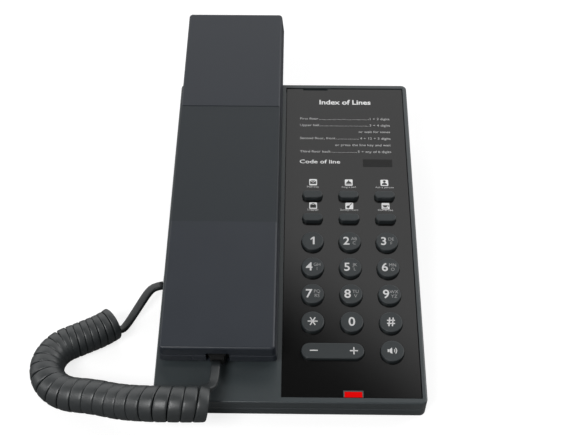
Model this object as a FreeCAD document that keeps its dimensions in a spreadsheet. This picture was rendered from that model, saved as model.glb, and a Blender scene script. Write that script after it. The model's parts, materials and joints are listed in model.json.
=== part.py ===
"""Desk telephone: sloped base with a keypad panel, a slab handset resting on it, and a curly cord."""
import FreeCAD, Part
import bisect
import math
import os
import Sketcher

Vec = FreeCAD.Vector
UP = Vec(0, 0, 1)

# Driving dimensions, in millimetres and degrees.
# Deck places: X from the middle of the base, Y back from its front edge, Z up from its top face.
DIMENSIONS = {
    # casing
    "tilt_angle": 10.0,
    "base_width": 128.4,
    "base_length": 198.4,
    "cover_depth": 6.3,
    "front_height": 12.8,
    "corner_round": 3.0,
    "edge_round": 0.8,
    "seam_chamfer": 0.35,
    "wall": 2.2,
    "top_wall": 3.0,
    "floor_wall": 2.0,
    "foot_height": 1.0,
    "foot_radius": 6.0,
    # keypad panel
    "panel_middle": 28.9,
    "panel_width": 65.6,
    "panel_front": 3.1,
    "panel_length": 192.5,
    "panel_thick": 1.5,
    "panel_recess": 2.0,
    "panel_gap": 0.3,
    "panel_corner": 0.8,
    "notch_left": 5.5,
    "notch_width": 13.8,
    "notch_length": 1.2,
    # dial keys
    "column_middle": 29.7,
    "column_pitch": 19.05,
    "row_front": 26.9,
    "row_pitch": 15.745,
    "key_radius": 5.61,
    "key_rise": 1.6,
    "key_round": 0.5,
    "key_gap": 0.3,
    "flange_margin": 1.0,
    "flange_thick": 0.8,
    "flange_top": 3.1,
    "stem_radius": 3.0,
    "stem_length": 1.2,
    # service keys and volume rocker
    "service_front": 104.6,
    "service_pitch": 14.74,
    "service_width": 10.5,
    "service_length": 4.6,
    "service_rise": 2.1,
    "volume_middle": 20.2,
    "volume_width": 30.2,
    "volume_length": 8.4,
    "volume_rise": 1.2,
    "rocker_flange_top": 4.2,
    # message lamp
    "lamp_width": 9.0,
    "lamp_length": 3.2,
    "lamp_gap": 0.15,
    "pipe_depth": 5.2,
    "pipe_thick": 1.8,
    "pipe_rear": 16.5,
    # keypad mat and circuit board
    "mat_left": 5.0,
    "mat_width": 48.5,
    "mat_front": 18.0,
    "mat_length": 109.0,
    "mat_thick": 1.0,
    "dome_height": 0.8,
    "dome_radius": 3.4,
    "board_left": -6.0,
    "board_width": 66.0,
    "board_front": 17.0,
    "board_length": 171.0,
    "board_thick": 1.6,
    "board_top": 8.0,
    # handset
    "handset_middle": -34.1,
    "handset_width": 56.3,
    "handset_lean": 1.2,
    "handset_front": 19.5,
    "handset_length": 219.3,
    "handset_under": 2.6,
    "handset_top": 15.9,
    "handset_seam": 8.75,
    "handset_wall": 2.0,
    "handset_corner": 2.0,
    "handset_edge": 1.3,
    "grip_front": 91.4,
    "grip_length": 76.8,
    "grip_sink": 0.2,
    "ear_middle": 212.0,
    "ear_radius": 14.0,
    "ear_height": 6.0,
    "grille_radius": 0.9,
    "grille_ring": 5.0,
    "mic_offset": 12.2,
    "mic_height": 5.4,
    "mic_hole": 0.6,
    "mic_radius": 2.2,
    "mic_length": 4.0,
    # modular jacks and plugs of the handset cord
    "jack_width": 10.4,
    "jack_height": 7.6,
    "jack_depth": 11.5,
    "plug_width": 7.6,
    "plug_height": 6.2,
    "plug_gap": 0.2,
    "plug_inside": 8.5,
    "plug_outside": 4.5,
    "jack_window_width": 11.2,
    "jack_window_height": 7.2,
    "handset_jack_height": 7.2,
    "base_jack_back": 74.8,
    "base_jack_depth": 17.4,
    # network sockets
    "network_width": 16.0,
    "network_height": 13.4,
    "network_depth": 16.0,
    "network_hole_width": 11.8,
    "network_hole_height": 8.2,
    "network_hole_depth": 12.6,
    "network_middle": 29.0,
    "network_pitch": 20.0,
    # hook switch
    "hook_back": 150.0,
    "hook_width": 7.0,
    "hook_length": 13.0,
    "hook_gap": 0.3,
    "hook_flange": 2.0,
    "hook_flange_drop": 8.0,
    "hook_flange_thick": 1.2,
    "spring_radius": 3.0,
    "spring_wire": 0.5,
    "spring_length": 10.0,
    "spring_turns": 6,
    "spring_post_radius": 5.0,
    "flag_width": 4.0,
    "flag_thick": 1.0,
    "flag_depth": 5.0,
    "sensor_back": 8.0,
    "sensor_width": 6.0,
    "sensor_length": 7.6,
    "sensor_gap": 0.8,
    # loudspeaker
    "speaker_back": 105.0,
    "speaker_radius": 20.0,
    "speaker_height": 8.0,
    "speaker_rim": 1.5,
    "magnet_radius": 11.0,
    "magnet_height": 5.0,
    "slot_width": 26.0,
    "slot_length": 1.6,
    "slot_pitch": 3.6,
    # cradle pads, weight and screws
    "pad_width": 34.0,
    "pad_length": 9.0,
    "pad_height": 2.4,
    "weight_width": 24.0,
    "weight_length": 70.0,
    "weight_height": 4.5,
    "screw_radius": 1.2,
    "screw_length": 5.0,
    "head_radius": 2.6,
    "head_height": 1.6,
    "post_radius": 4.2,
    "pilot_gap": 0.05,
    "screw_depth": 9.3,
    "ledge_height": 1.6,
    # curly cord
    "cord_thick": 2.0,
    "curl_radius": 7.0,
    "curl_lead_out": 7.0,
    "curl_start_angle": -30.0,
    "curl_end_angle": 200.0,
    "curl_whole_turns": 26,
    "tail_run": 5.5,
}

DIAL_LABELS = (("star", "0", "hash"), ("7", "8", "9"), ("4", "5", "6"), ("1", "2", "3"))
CASE_SCREW_PLACES = ((-52.0, 12.0), (52.0, 12.0), (-52.0, 186.0), (52.0, 186.0))
BOARD_SCREW_PLACES = ((-2.5, 24.0), (-2.5, 172.0), (57.0, 132.0), (57.0, 24.0))
FOOT_PLACES = ((-52.0, -104.0), (52.0, -104.0), (-52.0, 76.0), (52.0, 76.0))
HANDSET_SCREW_BACKS = (46.0, 186.0)
PAD_BACKS = (34.0, 176.0)

# Axis of the curls from the handset end to the base end, then the turns of the tail at the base.
CURL_AXIS = (
    (-38.6, -123.6, 20.8), (-51.5, -125.0, 22.5), (-65.5, -123.5, 20.5), (-79.0, -118.5, 14.5),
    (-93.0, -113.3, 11.5), (-107.5, -110.0, 8.35), (-116.3, -102.5, 8.35), (-118.6, -92.0, 8.35),
    (-114.0, -82.0, 8.35), (-104.0, -76.6, 8.35), (-92.5, -69.2, 8.35), (-87.6, -63.3, 8.35),
)
# Pitch of the curls at distances along that axis: open on the near run, close in the bend and after it.
CURL_PITCHES = ((0.0, 5.8), (58.0, 5.8), (78.0, 4.7), (118.0, 4.7), (128.0, 4.2), (200.0, 4.2))
BASE_TAIL_TURNS = (
    (-71.6, -40.68, 9.44), (-77.0, -44.0, 8.4), (-80.3, -50.4, 5.7),
)

doc = FreeCAD.newDocument("desk_phone")
sheet = doc.addObject("Spreadsheet::Sheet", "dims")
for row, (alias, number) in enumerate(DIMENSIONS.items(), start=1):
    sheet.set(f"A{row}", alias)
    sheet.set(f"B{row}", str(number))
    sheet.setAlias(f"B{row}", alias)
doc.recompute()


def size(expression):
    """The number that an expression on the sheet's cells gives now."""
    result = sheet.evalExpression(expression)
    return getattr(result, "Value", result)


def dim(alias):
    return size("dims." + alias)


TILT = math.radians(dim("tilt_angle"))
# The handset's rear lower edge and the base's front upper edge are the two ends of the object.
REAR_END = (dim("handset_front") + dim("handset_length")) * math.cos(TILT)
REAR_END -= dim("handset_under") * math.sin(TILT)
DECK_HEIGHT = dim("foot_height") + dim("front_height") * math.cos(TILT)
deck = FreeCAD.Placement(
    Vec(0, -REAR_END / 2, DECK_HEIGHT), FreeCAD.Rotation(Vec(1, 0, 0), dim("tilt_angle"))
)
sub_parts = []


def deck_place(x, y, z, turn=0.0):
    """Placement at a deck place, turned about the deck's normal."""
    return deck * FreeCAD.Placement(Vec(x, y, z), FreeCAD.Rotation(UP, turn))


def finish(item, label):
    item.Label = label
    sub_parts.append(item)
    return item


def bind(item, **expressions):
    for name, expression in expressions.items():
        item.setExpression(name, expression)
    return item


# Sketch helpers: every size in them is an expression on the sheet.
def drive(sketch, kind, where, expression):
    index = sketch.addConstraint(Sketcher.Constraint(kind, *where, size(expression)))
    name = f"size_{index}"
    sketch.renameConstraint(index, name)
    sketch.setExpression("Constraints." + name, expression)


def pin_point(sketch, geometry, point, x, y):
    drive(sketch, "DistanceX", (-1, 1, geometry, point), x)
    drive(sketch, "DistanceY", (-1, 1, geometry, point), y)


def circle(sketch, x, y, radius):
    shape = Part.Circle(Vec(size(x), size(y), 0), UP, size(radius))
    geometry = sketch.addGeometry(shape, False)
    drive(sketch, "Radius", (geometry,), radius)
    pin_point(sketch, geometry, 3, x, y)


def polygon(sketch, points):
    places = [Vec(size(x), size(y), 0) for x, y in points]
    count = len(points)
    lines = [
        sketch.addGeometry(Part.LineSegment(places[i], places[(i + 1) % count]), False) for i in range(count)
    ]
    for i in range(count):
        sketch.addConstraint(Sketcher.Constraint("Coincident", lines[i], 2, lines[(i + 1) % count], 1))
    for line, (x, y) in zip(lines, points):
        pin_point(sketch, line, 1, x, y)


def rectangle(sketch, left, front, width, length):
    right = f"{left} + {width}"
    back = f"{front} + {length}"
    polygon(sketch, [(left, front), (right, front), (right, back), (left, back)])


def obround(sketch, x, y, width, length):
    """A bar with round ends, along X, about its middle."""
    radius = f"({length}) / 2"
    reach = f"({width}) / 2 - {radius}"
    r, h = size(radius), size(reach)
    ends = []
    for sign, start in ((1, -90), (-1, 90)):
        round_end = Part.Circle(Vec(size(x) + sign * h, size(y), 0), UP, r)
        arc = Part.ArcOfCircle(round_end, math.radians(start), math.radians(start + 180))
        ends.append(sketch.addGeometry(arc, False))
    for first, second in ((0, 1), (1, 0)):
        sign = 1 if first == 0 else -1
        start = Vec(size(x) + sign * h, size(y) + sign * r, 0)
        stop = Vec(size(x) - sign * h, size(y) + sign * r, 0)
        line = sketch.addGeometry(Part.LineSegment(start, stop), False)
        sketch.addConstraint(Sketcher.Constraint("Tangent", ends[first], 2, line, 1))
        sketch.addConstraint(Sketcher.Constraint("Tangent", line, 2, ends[second], 1))
    drive(sketch, "Radius", (ends[0],), radius)
    pin_point(sketch, ends[0], 3, f"{x} + {reach}", y)
    pin_point(sketch, ends[1], 3, f"{x} - ({reach})", y)


def new_body(label, place=None):
    body = doc.addObject("PartDesign::Body", label)
    body.Placement = place or deck
    return finish(body, label)


def origin_feature(body, role):
    return next(feature for feature in body.Origin.OriginFeatures if feature.Role == role)


def sketch_in(body, plane="XY_Plane", lift=None):
    sketch = body.newObject("Sketcher::SketchObject", body.Name + "_sketch")
    sketch.AttachmentSupport = [(origin_feature(body, plane), "")]
    sketch.MapMode = "FlatFace"
    if lift:
        sketch.setExpression("AttachmentOffset.Base.z", lift)
    return sketch


def add_feature(body, kind, sketch, length, backwards=False, both=False):
    """A Pad or Pocket of a sketch; a Pocket cuts against its sketch's normal unless backwards."""
    doc.recompute()
    before = body.Shape.Volume if body.Tip else 0.0
    feature = body.newObject("PartDesign::" + kind, f"{body.Name}_{kind.lower()}")
    feature.Profile = sketch
    feature.SideType = "Symmetric" if both else "One side"
    feature.Reversed = backwards
    feature.setExpression("Length", length)
    doc.recompute()
    if abs(body.Shape.Volume - before) < 1e-6:
        raise RuntimeError(f"{feature.Name} changed nothing")
    return feature


def dress(body, kind, test, amount):
    """A Fillet or Chamfer on the edges of the body's tip that pass a test."""
    base = body.Tip
    names = [f"Edge{i}" for i, edge in enumerate(base.Shape.Edges, start=1) if test(edge)]
    feature = body.newObject("PartDesign::" + kind, f"{body.Name}_{kind.lower()}")
    feature.Base = (base, names)
    feature.setExpression("Radius" if kind == "Fillet" else "Size", amount)
    doc.recompute()
    return feature


def at_height(height):
    """Test for edges that lie at one height."""
    def test(edge):
        box = edge.BoundBox
        return abs(box.ZMin - height) < 1e-4 and abs(box.ZMax - height) < 1e-4
    return test


def upright(edge):
    """Test for edges that stand up, straight or leaning a little."""
    box = edge.BoundBox
    return box.ZLength > 4 * max(box.XLength, box.YLength)


def block(label, place, length, width, height):
    """A Part box whose Length runs along X, Width along Y and Height along Z."""
    item = doc.addObject("Part::Box", label)
    item.Placement = place
    return bind(item, Length=length, Width=width, Height=height)


def rod(label, place, radius, height):
    item = doc.addObject("Part::Cylinder", label)
    item.Placement = place
    return bind(item, Radius=radius, Height=height)


def cut(label, base, tool):
    item = doc.addObject("Part::Cut", label)
    item.Base = base
    item.Tool = tool
    return item


def fuse(label, items):
    item = doc.addObject("Part::MultiFuse", label)
    item.Shapes = items
    return item


def group(label, items):
    item = doc.addObject("Part::Compound", label)
    item.Links = items
    return finish(item, label)


# Places of the keys on the deck.
def column_x(column):
    return f"dims.column_middle + {column - 1} * dims.column_pitch"


def row_y(row):
    return f"dims.row_front + {row} * dims.row_pitch"


def service_y(row):
    return f"dims.service_front + {row} * dims.service_pitch"


ROUND_KEYS = [("key_speaker", 2, 0)]
for dial_row, labels in enumerate(DIAL_LABELS, start=1):
    ROUND_KEYS += [(f"key_{label}", column, dial_row) for column, label in enumerate(labels)]
SERVICE_KEYS = [(f"service_key_{row * 3 + column + 1}", column, 1 - row) for row in range(2) for column in range(3)]


def key_openings(sketch):
    """Holes for every key, the rocker and the lamp, each with its running gap."""
    for _, column, row in ROUND_KEYS:
        circle(sketch, column_x(column), row_y(row), "dims.key_radius + dims.key_gap")
    for _, column, row in SERVICE_KEYS:
        obround(
            sketch, column_x(column), service_y(row),
            "dims.service_width + 2 * dims.key_gap", "dims.service_length + 2 * dims.key_gap",
        )
    obround(
        sketch, "dims.volume_middle", row_y(0),
        "dims.volume_width + 2 * dims.key_gap", "dims.volume_length + 2 * dims.key_gap",
    )
    rectangle(
        sketch, "dims.column_middle - dims.lamp_width / 2 - dims.lamp_gap", "dims.panel_front + dims.lamp_gap",
        "dims.lamp_width + 2 * dims.lamp_gap", "dims.lamp_length + dims.lamp_gap",
    )


def base_upper_cover():
    """Shallow tray that carries the panel; its top is the deck."""
    body = new_body("base_upper_cover")
    outline = sketch_in(body)
    rectangle(outline, "-dims.base_width / 2", "0", "dims.base_width", "dims.base_length")
    add_feature(body, "Pad", outline, "dims.cover_depth", backwards=True)
    dress(body, "Fillet", upright, "dims.corner_round")
    dress(body, "Fillet", at_height(0.0), "dims.edge_round")
    dress(body, "Chamfer", at_height(-dim("cover_depth")), "dims.seam_chamfer")
    inside = sketch_in(body, lift="-dims.cover_depth")
    rectangle(
        inside, "dims.wall - dims.base_width / 2", "dims.wall",
        "dims.base_width - 2 * dims.wall", "dims.base_length - 2 * dims.wall",
    )
    add_feature(body, "Pocket", inside, "dims.cover_depth - dims.top_wall", backwards=True)
    recess = sketch_in(body)
    rectangle(
        recess, "dims.panel_middle - dims.panel_width / 2 - dims.panel_gap", "dims.panel_front - dims.panel_gap",
        "dims.panel_width + 2 * dims.panel_gap", "dims.panel_length + 2 * dims.panel_gap",
    )
    add_feature(body, "Pocket", recess, "dims.panel_recess")
    holes = sketch_in(body)
    key_openings(holes)
    add_feature(body, "Pocket", holes, "dims.top_wall + 0.5")
    slots = sketch_in(body)
    rectangle(
        slots, "dims.handset_middle - dims.hook_width / 2 - dims.hook_gap",
        "dims.hook_back - dims.hook_length / 2 - dims.hook_gap",
        "dims.hook_width + 2 * dims.hook_gap", "dims.hook_length + 2 * dims.hook_gap",
    )
    for step in range(-3, 4):
        obround(
            slots, "dims.handset_middle", f"dims.speaker_back + {step} * dims.slot_pitch",
            f"dims.slot_width - {abs(step)} * dims.slot_pitch", "dims.slot_length",
        )
    add_feature(body, "Pocket", slots, "dims.top_wall + 0.5")
    bosses = sketch_in(body, lift="-dims.top_wall")
    for x, y in CASE_SCREW_PLACES:
        circle(bosses, str(x), str(y), "dims.post_radius")
    add_feature(body, "Pad", bosses, "dims.cover_depth - dims.top_wall", backwards=True)
    pilots = sketch_in(body, lift="-dims.cover_depth")
    for x, y in CASE_SCREW_PLACES:
        circle(pilots, str(x), str(y), "dims.screw_radius + dims.pilot_gap")
    add_feature(body, "Pocket", pilots, "dims.cover_depth - dims.top_wall - 0.5", backwards=True)


def base_lower_shell():
    """Wedge-shaped tub under the cover, with screw posts, spring post and socket windows."""
    body = new_body("base_lower_shell")
    slope = "tan(dims.tilt_angle * 1 deg)"
    under = f"(dims.front_height + dims.base_length * {slope})"
    side = sketch_in(body, "YZ_Plane")
    polygon(side, [
        ("0", "-dims.cover_depth"), ("dims.base_length", "-dims.cover_depth"),
        ("dims.base_length", "-" + under), ("0", "-dims.front_height"),
    ])
    add_feature(body, "Pad", side, "dims.base_width", both=True)
    dress(body, "Fillet", upright, "dims.corner_round")
    dress(body, "Fillet", lambda edge: edge.BoundBox.ZMin < -dim("front_height") + 1e-4
          and edge.BoundBox.ZMax < -dim("cover_depth") - 1.0 and not upright(edge), "dims.edge_round")
    dress(body, "Chamfer", at_height(-dim("cover_depth")), "dims.seam_chamfer")
    hollow = sketch_in(body, "YZ_Plane")
    floor_drop = "(dims.floor_wall / cos(dims.tilt_angle * 1 deg))"
    front_floor = f"{floor_drop} - dims.front_height - dims.wall * {slope}"
    back_floor = f"{floor_drop} - dims.front_height - (dims.base_length - dims.wall) * {slope}"
    polygon(hollow, [
        ("dims.wall", "-dims.cover_depth"), ("dims.base_length - dims.wall", "-dims.cover_depth"),
        ("dims.base_length - dims.wall", back_floor), ("dims.wall", front_floor),
    ])
    add_feature(body, "Pocket", hollow, "dims.base_width - 2 * dims.wall", both=True)
    # Posts run down into the sloping floor, each as long as the tub is deep at its place.
    posts = [(x, y, "dims.post_radius", "dims.cover_depth") for x, y in CASE_SCREW_PLACES]
    posts += [(x, y, "dims.head_radius + 0.6", "dims.board_top + dims.board_thick") for x, y in BOARD_SCREW_PLACES]
    posts += [
        (
            dim("handset_middle"), back, "dims.spring_post_radius",
            "dims.hook_flange_drop + dims.hook_flange_thick + dims.spring_length",
        )
        for back in (dim("hook_back"), dim("hook_back") + dim("sensor_back"))
    ]
    for x, y, radius, top in posts:
        post = sketch_in(body, lift=f"-({top})")
        circle(post, str(x), str(y), radius)
        add_feature(body, "Pad", post, f"dims.front_height + {y} * {slope} - 1.4 - ({top})", backwards=True)
    shafts = sketch_in(body, lift="-dims.cover_depth")
    for x, y in CASE_SCREW_PLACES:
        circle(shafts, str(x), str(y), "dims.screw_radius + 2 * dims.pilot_gap")
    add_feature(body, "Pocket", shafts, "dims.screw_depth - dims.cover_depth + 0.5")
    counterbores = sketch_in(body, lift="-dims.screw_depth")
    for x, y in CASE_SCREW_PLACES:
        circle(counterbores, str(x), str(y), "dims.head_radius + 0.3")
    add_feature(body, "Pocket", counterbores, under)
    pilots = sketch_in(body, lift="-(dims.board_top + dims.board_thick)")
    for x, y in BOARD_SCREW_PLACES:
        circle(pilots, str(x), str(y), "dims.screw_radius + dims.pilot_gap")
    add_feature(body, "Pocket", pilots, "dims.screw_length - dims.board_thick + 0.5")
    window = sketch_in(body, "YZ_Plane", lift="-dims.base_width / 2")
    rectangle(
        window, "dims.base_jack_back - dims.jack_window_width / 2",
        "-dims.base_jack_depth - dims.jack_window_height / 2", "dims.jack_window_width", "dims.jack_window_height",
    )
    add_feature(body, "Pocket", window, "dims.wall + 0.2", backwards=True)
    rear = sketch_in(body, "XZ_Plane", lift="-dims.base_length")
    for step in (-0.5, 0.5):
        rectangle(
            rear, f"dims.network_middle + {step} * dims.network_pitch - dims.network_width / 2 - 0.2",
            "-dims.board_top - dims.board_thick - dims.network_height - 0.2",
            "dims.network_width + 0.4", "dims.network_height + 0.4",
        )
    add_feature(body, "Pocket", rear, "dims.wall + 0.2", backwards=True)


def faceplate():
    """Thin glossy panel with the key openings and a pry notch in its rear edge."""
    body = new_body("faceplate")
    outline = sketch_in(body, lift="-dims.panel_recess")
    rectangle(
        outline, "dims.panel_middle - dims.panel_width / 2", "dims.panel_front",
        "dims.panel_width", "dims.panel_length",
    )
    add_feature(body, "Pad", outline, "dims.panel_thick")
    dress(body, "Fillet", upright, "dims.panel_corner")
    dress(body, "Chamfer", at_height(dim("panel_thick") - dim("panel_recess")), "dims.seam_chamfer / 2")
    holes = sketch_in(body)
    key_openings(holes)
    rectangle(
        holes, "dims.notch_left", "dims.panel_front + dims.panel_length - dims.notch_length",
        "dims.notch_width", "dims.notch_length + 1",
    )
    add_feature(body, "Pocket", holes, "dims.panel_recess + 0.5")


def round_keys():
    """One turned key per dial place: cap, retaining flange and stem."""
    for label, column, row in ROUND_KEYS:
        body = new_body(label, deck_place(size(column_x(column)), size(row_y(row)), 0))
        profile = sketch_in(body, "XZ_Plane")
        flange_under = "dims.flange_top + dims.flange_thick"
        polygon(profile, [
            ("0", f"-({flange_under} + dims.stem_length)"),
            ("dims.stem_radius", f"-({flange_under} + dims.stem_length)"),
            ("dims.stem_radius", f"-({flange_under})"),
            ("dims.key_radius + dims.flange_margin", f"-({flange_under})"),
            ("dims.key_radius + dims.flange_margin", "-dims.flange_top"),
            ("dims.key_radius", "-dims.flange_top"),
            ("dims.key_radius", "dims.key_rise"),
            ("0", "dims.key_rise"),
        ])
        turned = body.newObject("PartDesign::Revolution", label + "_turned")
        turned.Profile = profile
        turned.ReferenceAxis = (origin_feature(body, "Z_Axis"), [""])
        turned.Angle = 360.0
        doc.recompute()
        dress(body, "Fillet", at_height(dim("key_rise")), "dims.key_round")


def bar_key(label, x, y, width, length, rise, flange_top, stem_reach):
    """A key with round ends: cap, retaining flange and stems."""
    body = new_body(label, deck_place(size(x), size(y), 0))
    zero = "0"
    cap = sketch_in(body, lift=f"-({flange_top})")
    obround(cap, zero, zero, width, length)
    add_feature(body, "Pad", cap, f"{rise} + {flange_top}")
    dress(body, "Fillet", at_height(size(rise)), "dims.key_round")
    flange = sketch_in(body, lift=f"-({flange_top})")
    obround(flange, zero, zero, f"{width} + 2 * dims.flange_margin", f"{length} + 2 * dims.flange_margin")
    add_feature(body, "Pad", flange, "dims.flange_thick", backwards=True)
    stems = sketch_in(body, lift=f"-({flange_top} + dims.flange_thick)")
    for reach in sorted({-stem_reach, stem_reach}):
        circle(stems, f"{reach}", zero, "dims.stem_radius * 0.8")
    add_feature(body, "Pad", stems, "0.3" if stem_reach else "dims.stem_length", backwards=True)


def bar_keys():
    for label, column, row in SERVICE_KEYS:
        bar_key(
            label, column_x(column), service_y(row), "dims.service_width", "dims.service_length",
            "dims.service_rise", "dims.flange_top", 0.0,
        )
    bar_key(
        "volume_rocker", "dims.volume_middle", row_y(0), "dims.volume_width", "dims.volume_length",
        "dims.volume_rise", "dims.rocker_flange_top", 10.0,
    )


def message_lamp():
    """Red lens at the panel's front edge, with a light guide back to a lamp on the board."""
    left = dim("column_middle") - dim("lamp_width") / 2
    lens_front = dim("panel_front") + 2 * dim("lamp_gap")
    lens = block(
        "lens_block", deck_place(left, lens_front, -dim("pipe_depth")),
        "dims.lamp_width", "dims.lamp_length - dims.lamp_gap", "dims.pipe_depth - 0.35",
    )
    guide = block(
        "lens_guide", deck_place(left, lens_front, -dim("pipe_depth")),
        "dims.lamp_width", "dims.pipe_rear - dims.panel_front", "dims.pipe_thick",
    )
    finish(fuse("message_lamp_lens", [lens, guide]), "message_lamp_lens")
    led = block(
        "message_lamp_led", deck_place(dim("column_middle") - 1.6, dim("pipe_rear") + 0.6, -dim("board_top")),
        "3.2", "1.2", "dims.board_top - dims.pipe_depth + dims.pipe_thick",
    )
    finish(led, "message_lamp_led")


def keypad_mat():
    """Rubber mat with one dome under every key."""
    body = new_body("keypad_mat")
    sheet_outline = sketch_in(body, lift="-dims.board_top")
    rectangle(sheet_outline, "dims.mat_left", "dims.mat_front + 1.5", "dims.mat_width", "dims.mat_length")
    add_feature(body, "Pad", sheet_outline, "dims.mat_thick")
    domes = sketch_in(body, lift="dims.mat_thick - dims.board_top")
    for _, column, row in ROUND_KEYS:
        circle(domes, column_x(column), row_y(row), "dims.dome_radius")
    for _, column, row in SERVICE_KEYS:
        circle(domes, column_x(column), service_y(row), "dims.dome_radius * 0.8")
    for sign in (-1, 1):
        circle(domes, f"dims.volume_middle + {sign} * 10", row_y(0), "dims.dome_radius * 0.8")
    add_feature(body, "Pad", domes, "dims.dome_height")


def circuit_board():
    """Main board on the posts of the tub, with clear holes for its screws."""
    board = block(
        "board_blank", deck_place(dim("board_left"), dim("board_front"), -dim("board_top") - dim("board_thick")),
        "dims.board_width", "dims.board_length", "dims.board_thick",
    )
    post_notch = block(
        "board_notch", deck_place(CASE_SCREW_PLACES[3][0] - dim("post_radius") - 0.5, 180.0,
                                  -dim("board_top") - 2 * dim("board_thick")),
        "dims.board_width", "dims.board_length", "3 * dims.board_thick",
    )
    holes = [
        rod(f"board_hole_{i}", deck_place(x, y, -dim("board_top") - 2 * dim("board_thick")),
            "dims.screw_radius + 0.3", "3 * dims.board_thick")
        for i, (x, y) in enumerate(BOARD_SCREW_PLACES)
    ]
    finish(cut("main_circuit_board", board, fuse("board_holes", [post_notch, *holes])), "main_circuit_board")


def socket(label, place, width, height, depth, hole_width, hole_height, hole_depth):
    """Square socket: mouth on its local front face, Y running in."""
    case = block(
        label + "_case", place * FreeCAD.Placement(Vec(-size(width) / 2, 0, -size(height) / 2), FreeCAD.Rotation()),
        width, depth, height,
    )
    hole = block(
        label + "_hole",
        place * FreeCAD.Placement(Vec(-size(hole_width) / 2, -1, -size(hole_height) / 2), FreeCAD.Rotation()),
        hole_width, f"{hole_depth} + 1", hole_height,
    )
    return finish(cut(label, case, hole), label)


def plug(label, place):
    """Modular plug in its socket; the cord leaves its collar's front face."""
    half_width, half_height = dim("plug_width") / 2, dim("plug_height") / 2
    nose = block(
        label + "_nose",
        place * FreeCAD.Placement(Vec(-half_width, -0.6 * dim("plug_outside"), -half_height), FreeCAD.Rotation()),
        "dims.plug_width", "dims.plug_inside + 0.6 * dims.plug_outside", "dims.plug_height",
    )
    collar = block(
        label + "_collar",
        place * FreeCAD.Placement(
            Vec(-0.8 * half_width, -dim("plug_outside"), -0.75 * half_height), FreeCAD.Rotation()
        ),
        "0.8 * dims.plug_width", "dims.plug_outside", "0.75 * dims.plug_height",
    )
    return finish(fuse(label, [nose, collar]), label)


HANDSET_JACK = deck_place(
    dim("handset_middle"), dim("handset_front") + dim("handset_wall") + 0.1, dim("handset_jack_height")
)
BASE_JACK = deck_place(
    -dim("base_width") / 2 + dim("wall") + 0.1, dim("base_jack_back"), -dim("base_jack_depth"), turn=-90
)


def sockets_and_plugs():
    small_jack = ("dims.jack_width", "dims.jack_height", "dims.jack_depth")
    small_hole = (
        "dims.plug_width + 2 * dims.plug_gap", "dims.plug_height + 2 * dims.plug_gap",
        "dims.plug_inside + dims.plug_gap",
    )
    socket("handset_cord_jack", HANDSET_JACK, *small_jack, *small_hole)
    socket("base_cord_jack", BASE_JACK, *small_jack, *small_hole)
    plug("handset_plug", HANDSET_JACK)
    plug("base_plug", BASE_JACK)
    height = -dim("board_top") - dim("board_thick") - dim("network_height") / 2
    for label, step in (("computer_socket", -0.5), ("network_socket", 0.5)):
        place = deck_place(dim("network_middle") + step * dim("network_pitch"), dim("base_length"), height, turn=180)
        socket(
            label, place, "dims.network_width", "dims.network_height", "dims.network_depth",
            "dims.network_hole_width", "dims.network_hole_height", "dims.network_hole_depth",
        )


def hook_switch():
    """Plunger that the handset holds down, its return spring and the slotted light sensor it blocks."""
    x, y = dim("handset_middle"), dim("hook_back")
    flange_top = -dim("hook_flange_drop")
    stem_top = dim("handset_under") - 0.3
    stem = block(
        "plunger_stem", deck_place(x - dim("hook_width") / 2, y - dim("hook_length") / 2, flange_top),
        "dims.hook_width", "dims.hook_length", "dims.handset_under - 0.3 + dims.hook_flange_drop",
    )
    margin = dim("hook_flange")
    flange_place = deck_place(
        x - dim("hook_width") / 2 - margin, y - dim("hook_length") / 2 - margin,
        flange_top - dim("hook_flange_thick"),
    )
    flange = block(
        "plunger_flange", flange_place, "dims.hook_width + 2 * dims.hook_flange",
        "dims.hook_length + 2 * dims.hook_flange", "dims.hook_flange_thick",
    )
    sensor_y = y + dim("sensor_back")
    flag = block(
        "plunger_flag",
        deck_place(
            x - dim("flag_width") / 2, sensor_y - dim("flag_thick") / 2,
            flange_top - dim("hook_flange_thick") - dim("flag_depth"),
        ),
        "dims.flag_width", "dims.flag_thick", "dims.flag_depth + dims.hook_flange_thick",
    )
    finish(fuse("hook_plunger", [stem, flange, flag]), "hook_plunger")
    print(f"hook plunger stands {stem_top:.1f} mm above the deck under the handset")
    seat = flange_top - dim("hook_flange_thick") - dim("spring_length")
    case = block(
        "sensor_case", deck_place(x - dim("sensor_width") / 2, sensor_y - dim("sensor_length") / 2, seat),
        "dims.sensor_width", "dims.sensor_length", "dims.spring_length - 1.2",
    )
    slot = block(
        "sensor_slot",
        deck_place(x - dim("sensor_width"), sensor_y - dim("flag_thick") / 2 - dim("sensor_gap"), seat + 2.5),
        "2 * dims.sensor_width", "dims.flag_thick + 2 * dims.sensor_gap", "dims.spring_length",
    )
    finish(cut("hook_sensor", case, slot), "hook_sensor")
    helix = Part.makeHelix(
        (dim("spring_length") - 2 * dim("spring_wire")) / dim("spring_turns"),
        dim("spring_length") - 2 * dim("spring_wire"), dim("spring_radius"),
    )
    start = Vec(dim("spring_radius"), 0, 0)
    wire_section = Part.Wire([Part.Circle(start, Vec(0, 1, 0), dim("spring_wire") / 2).toShape()])
    spring = doc.addObject("Part::Feature", "hook_spring")
    spring.Shape = Part.Wire(helix.Edges).makePipeShell([wire_section], True, True)
    spring.Placement = deck_place(x, y, seat + dim("spring_wire"))
    finish(spring, "hook_spring")


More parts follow.
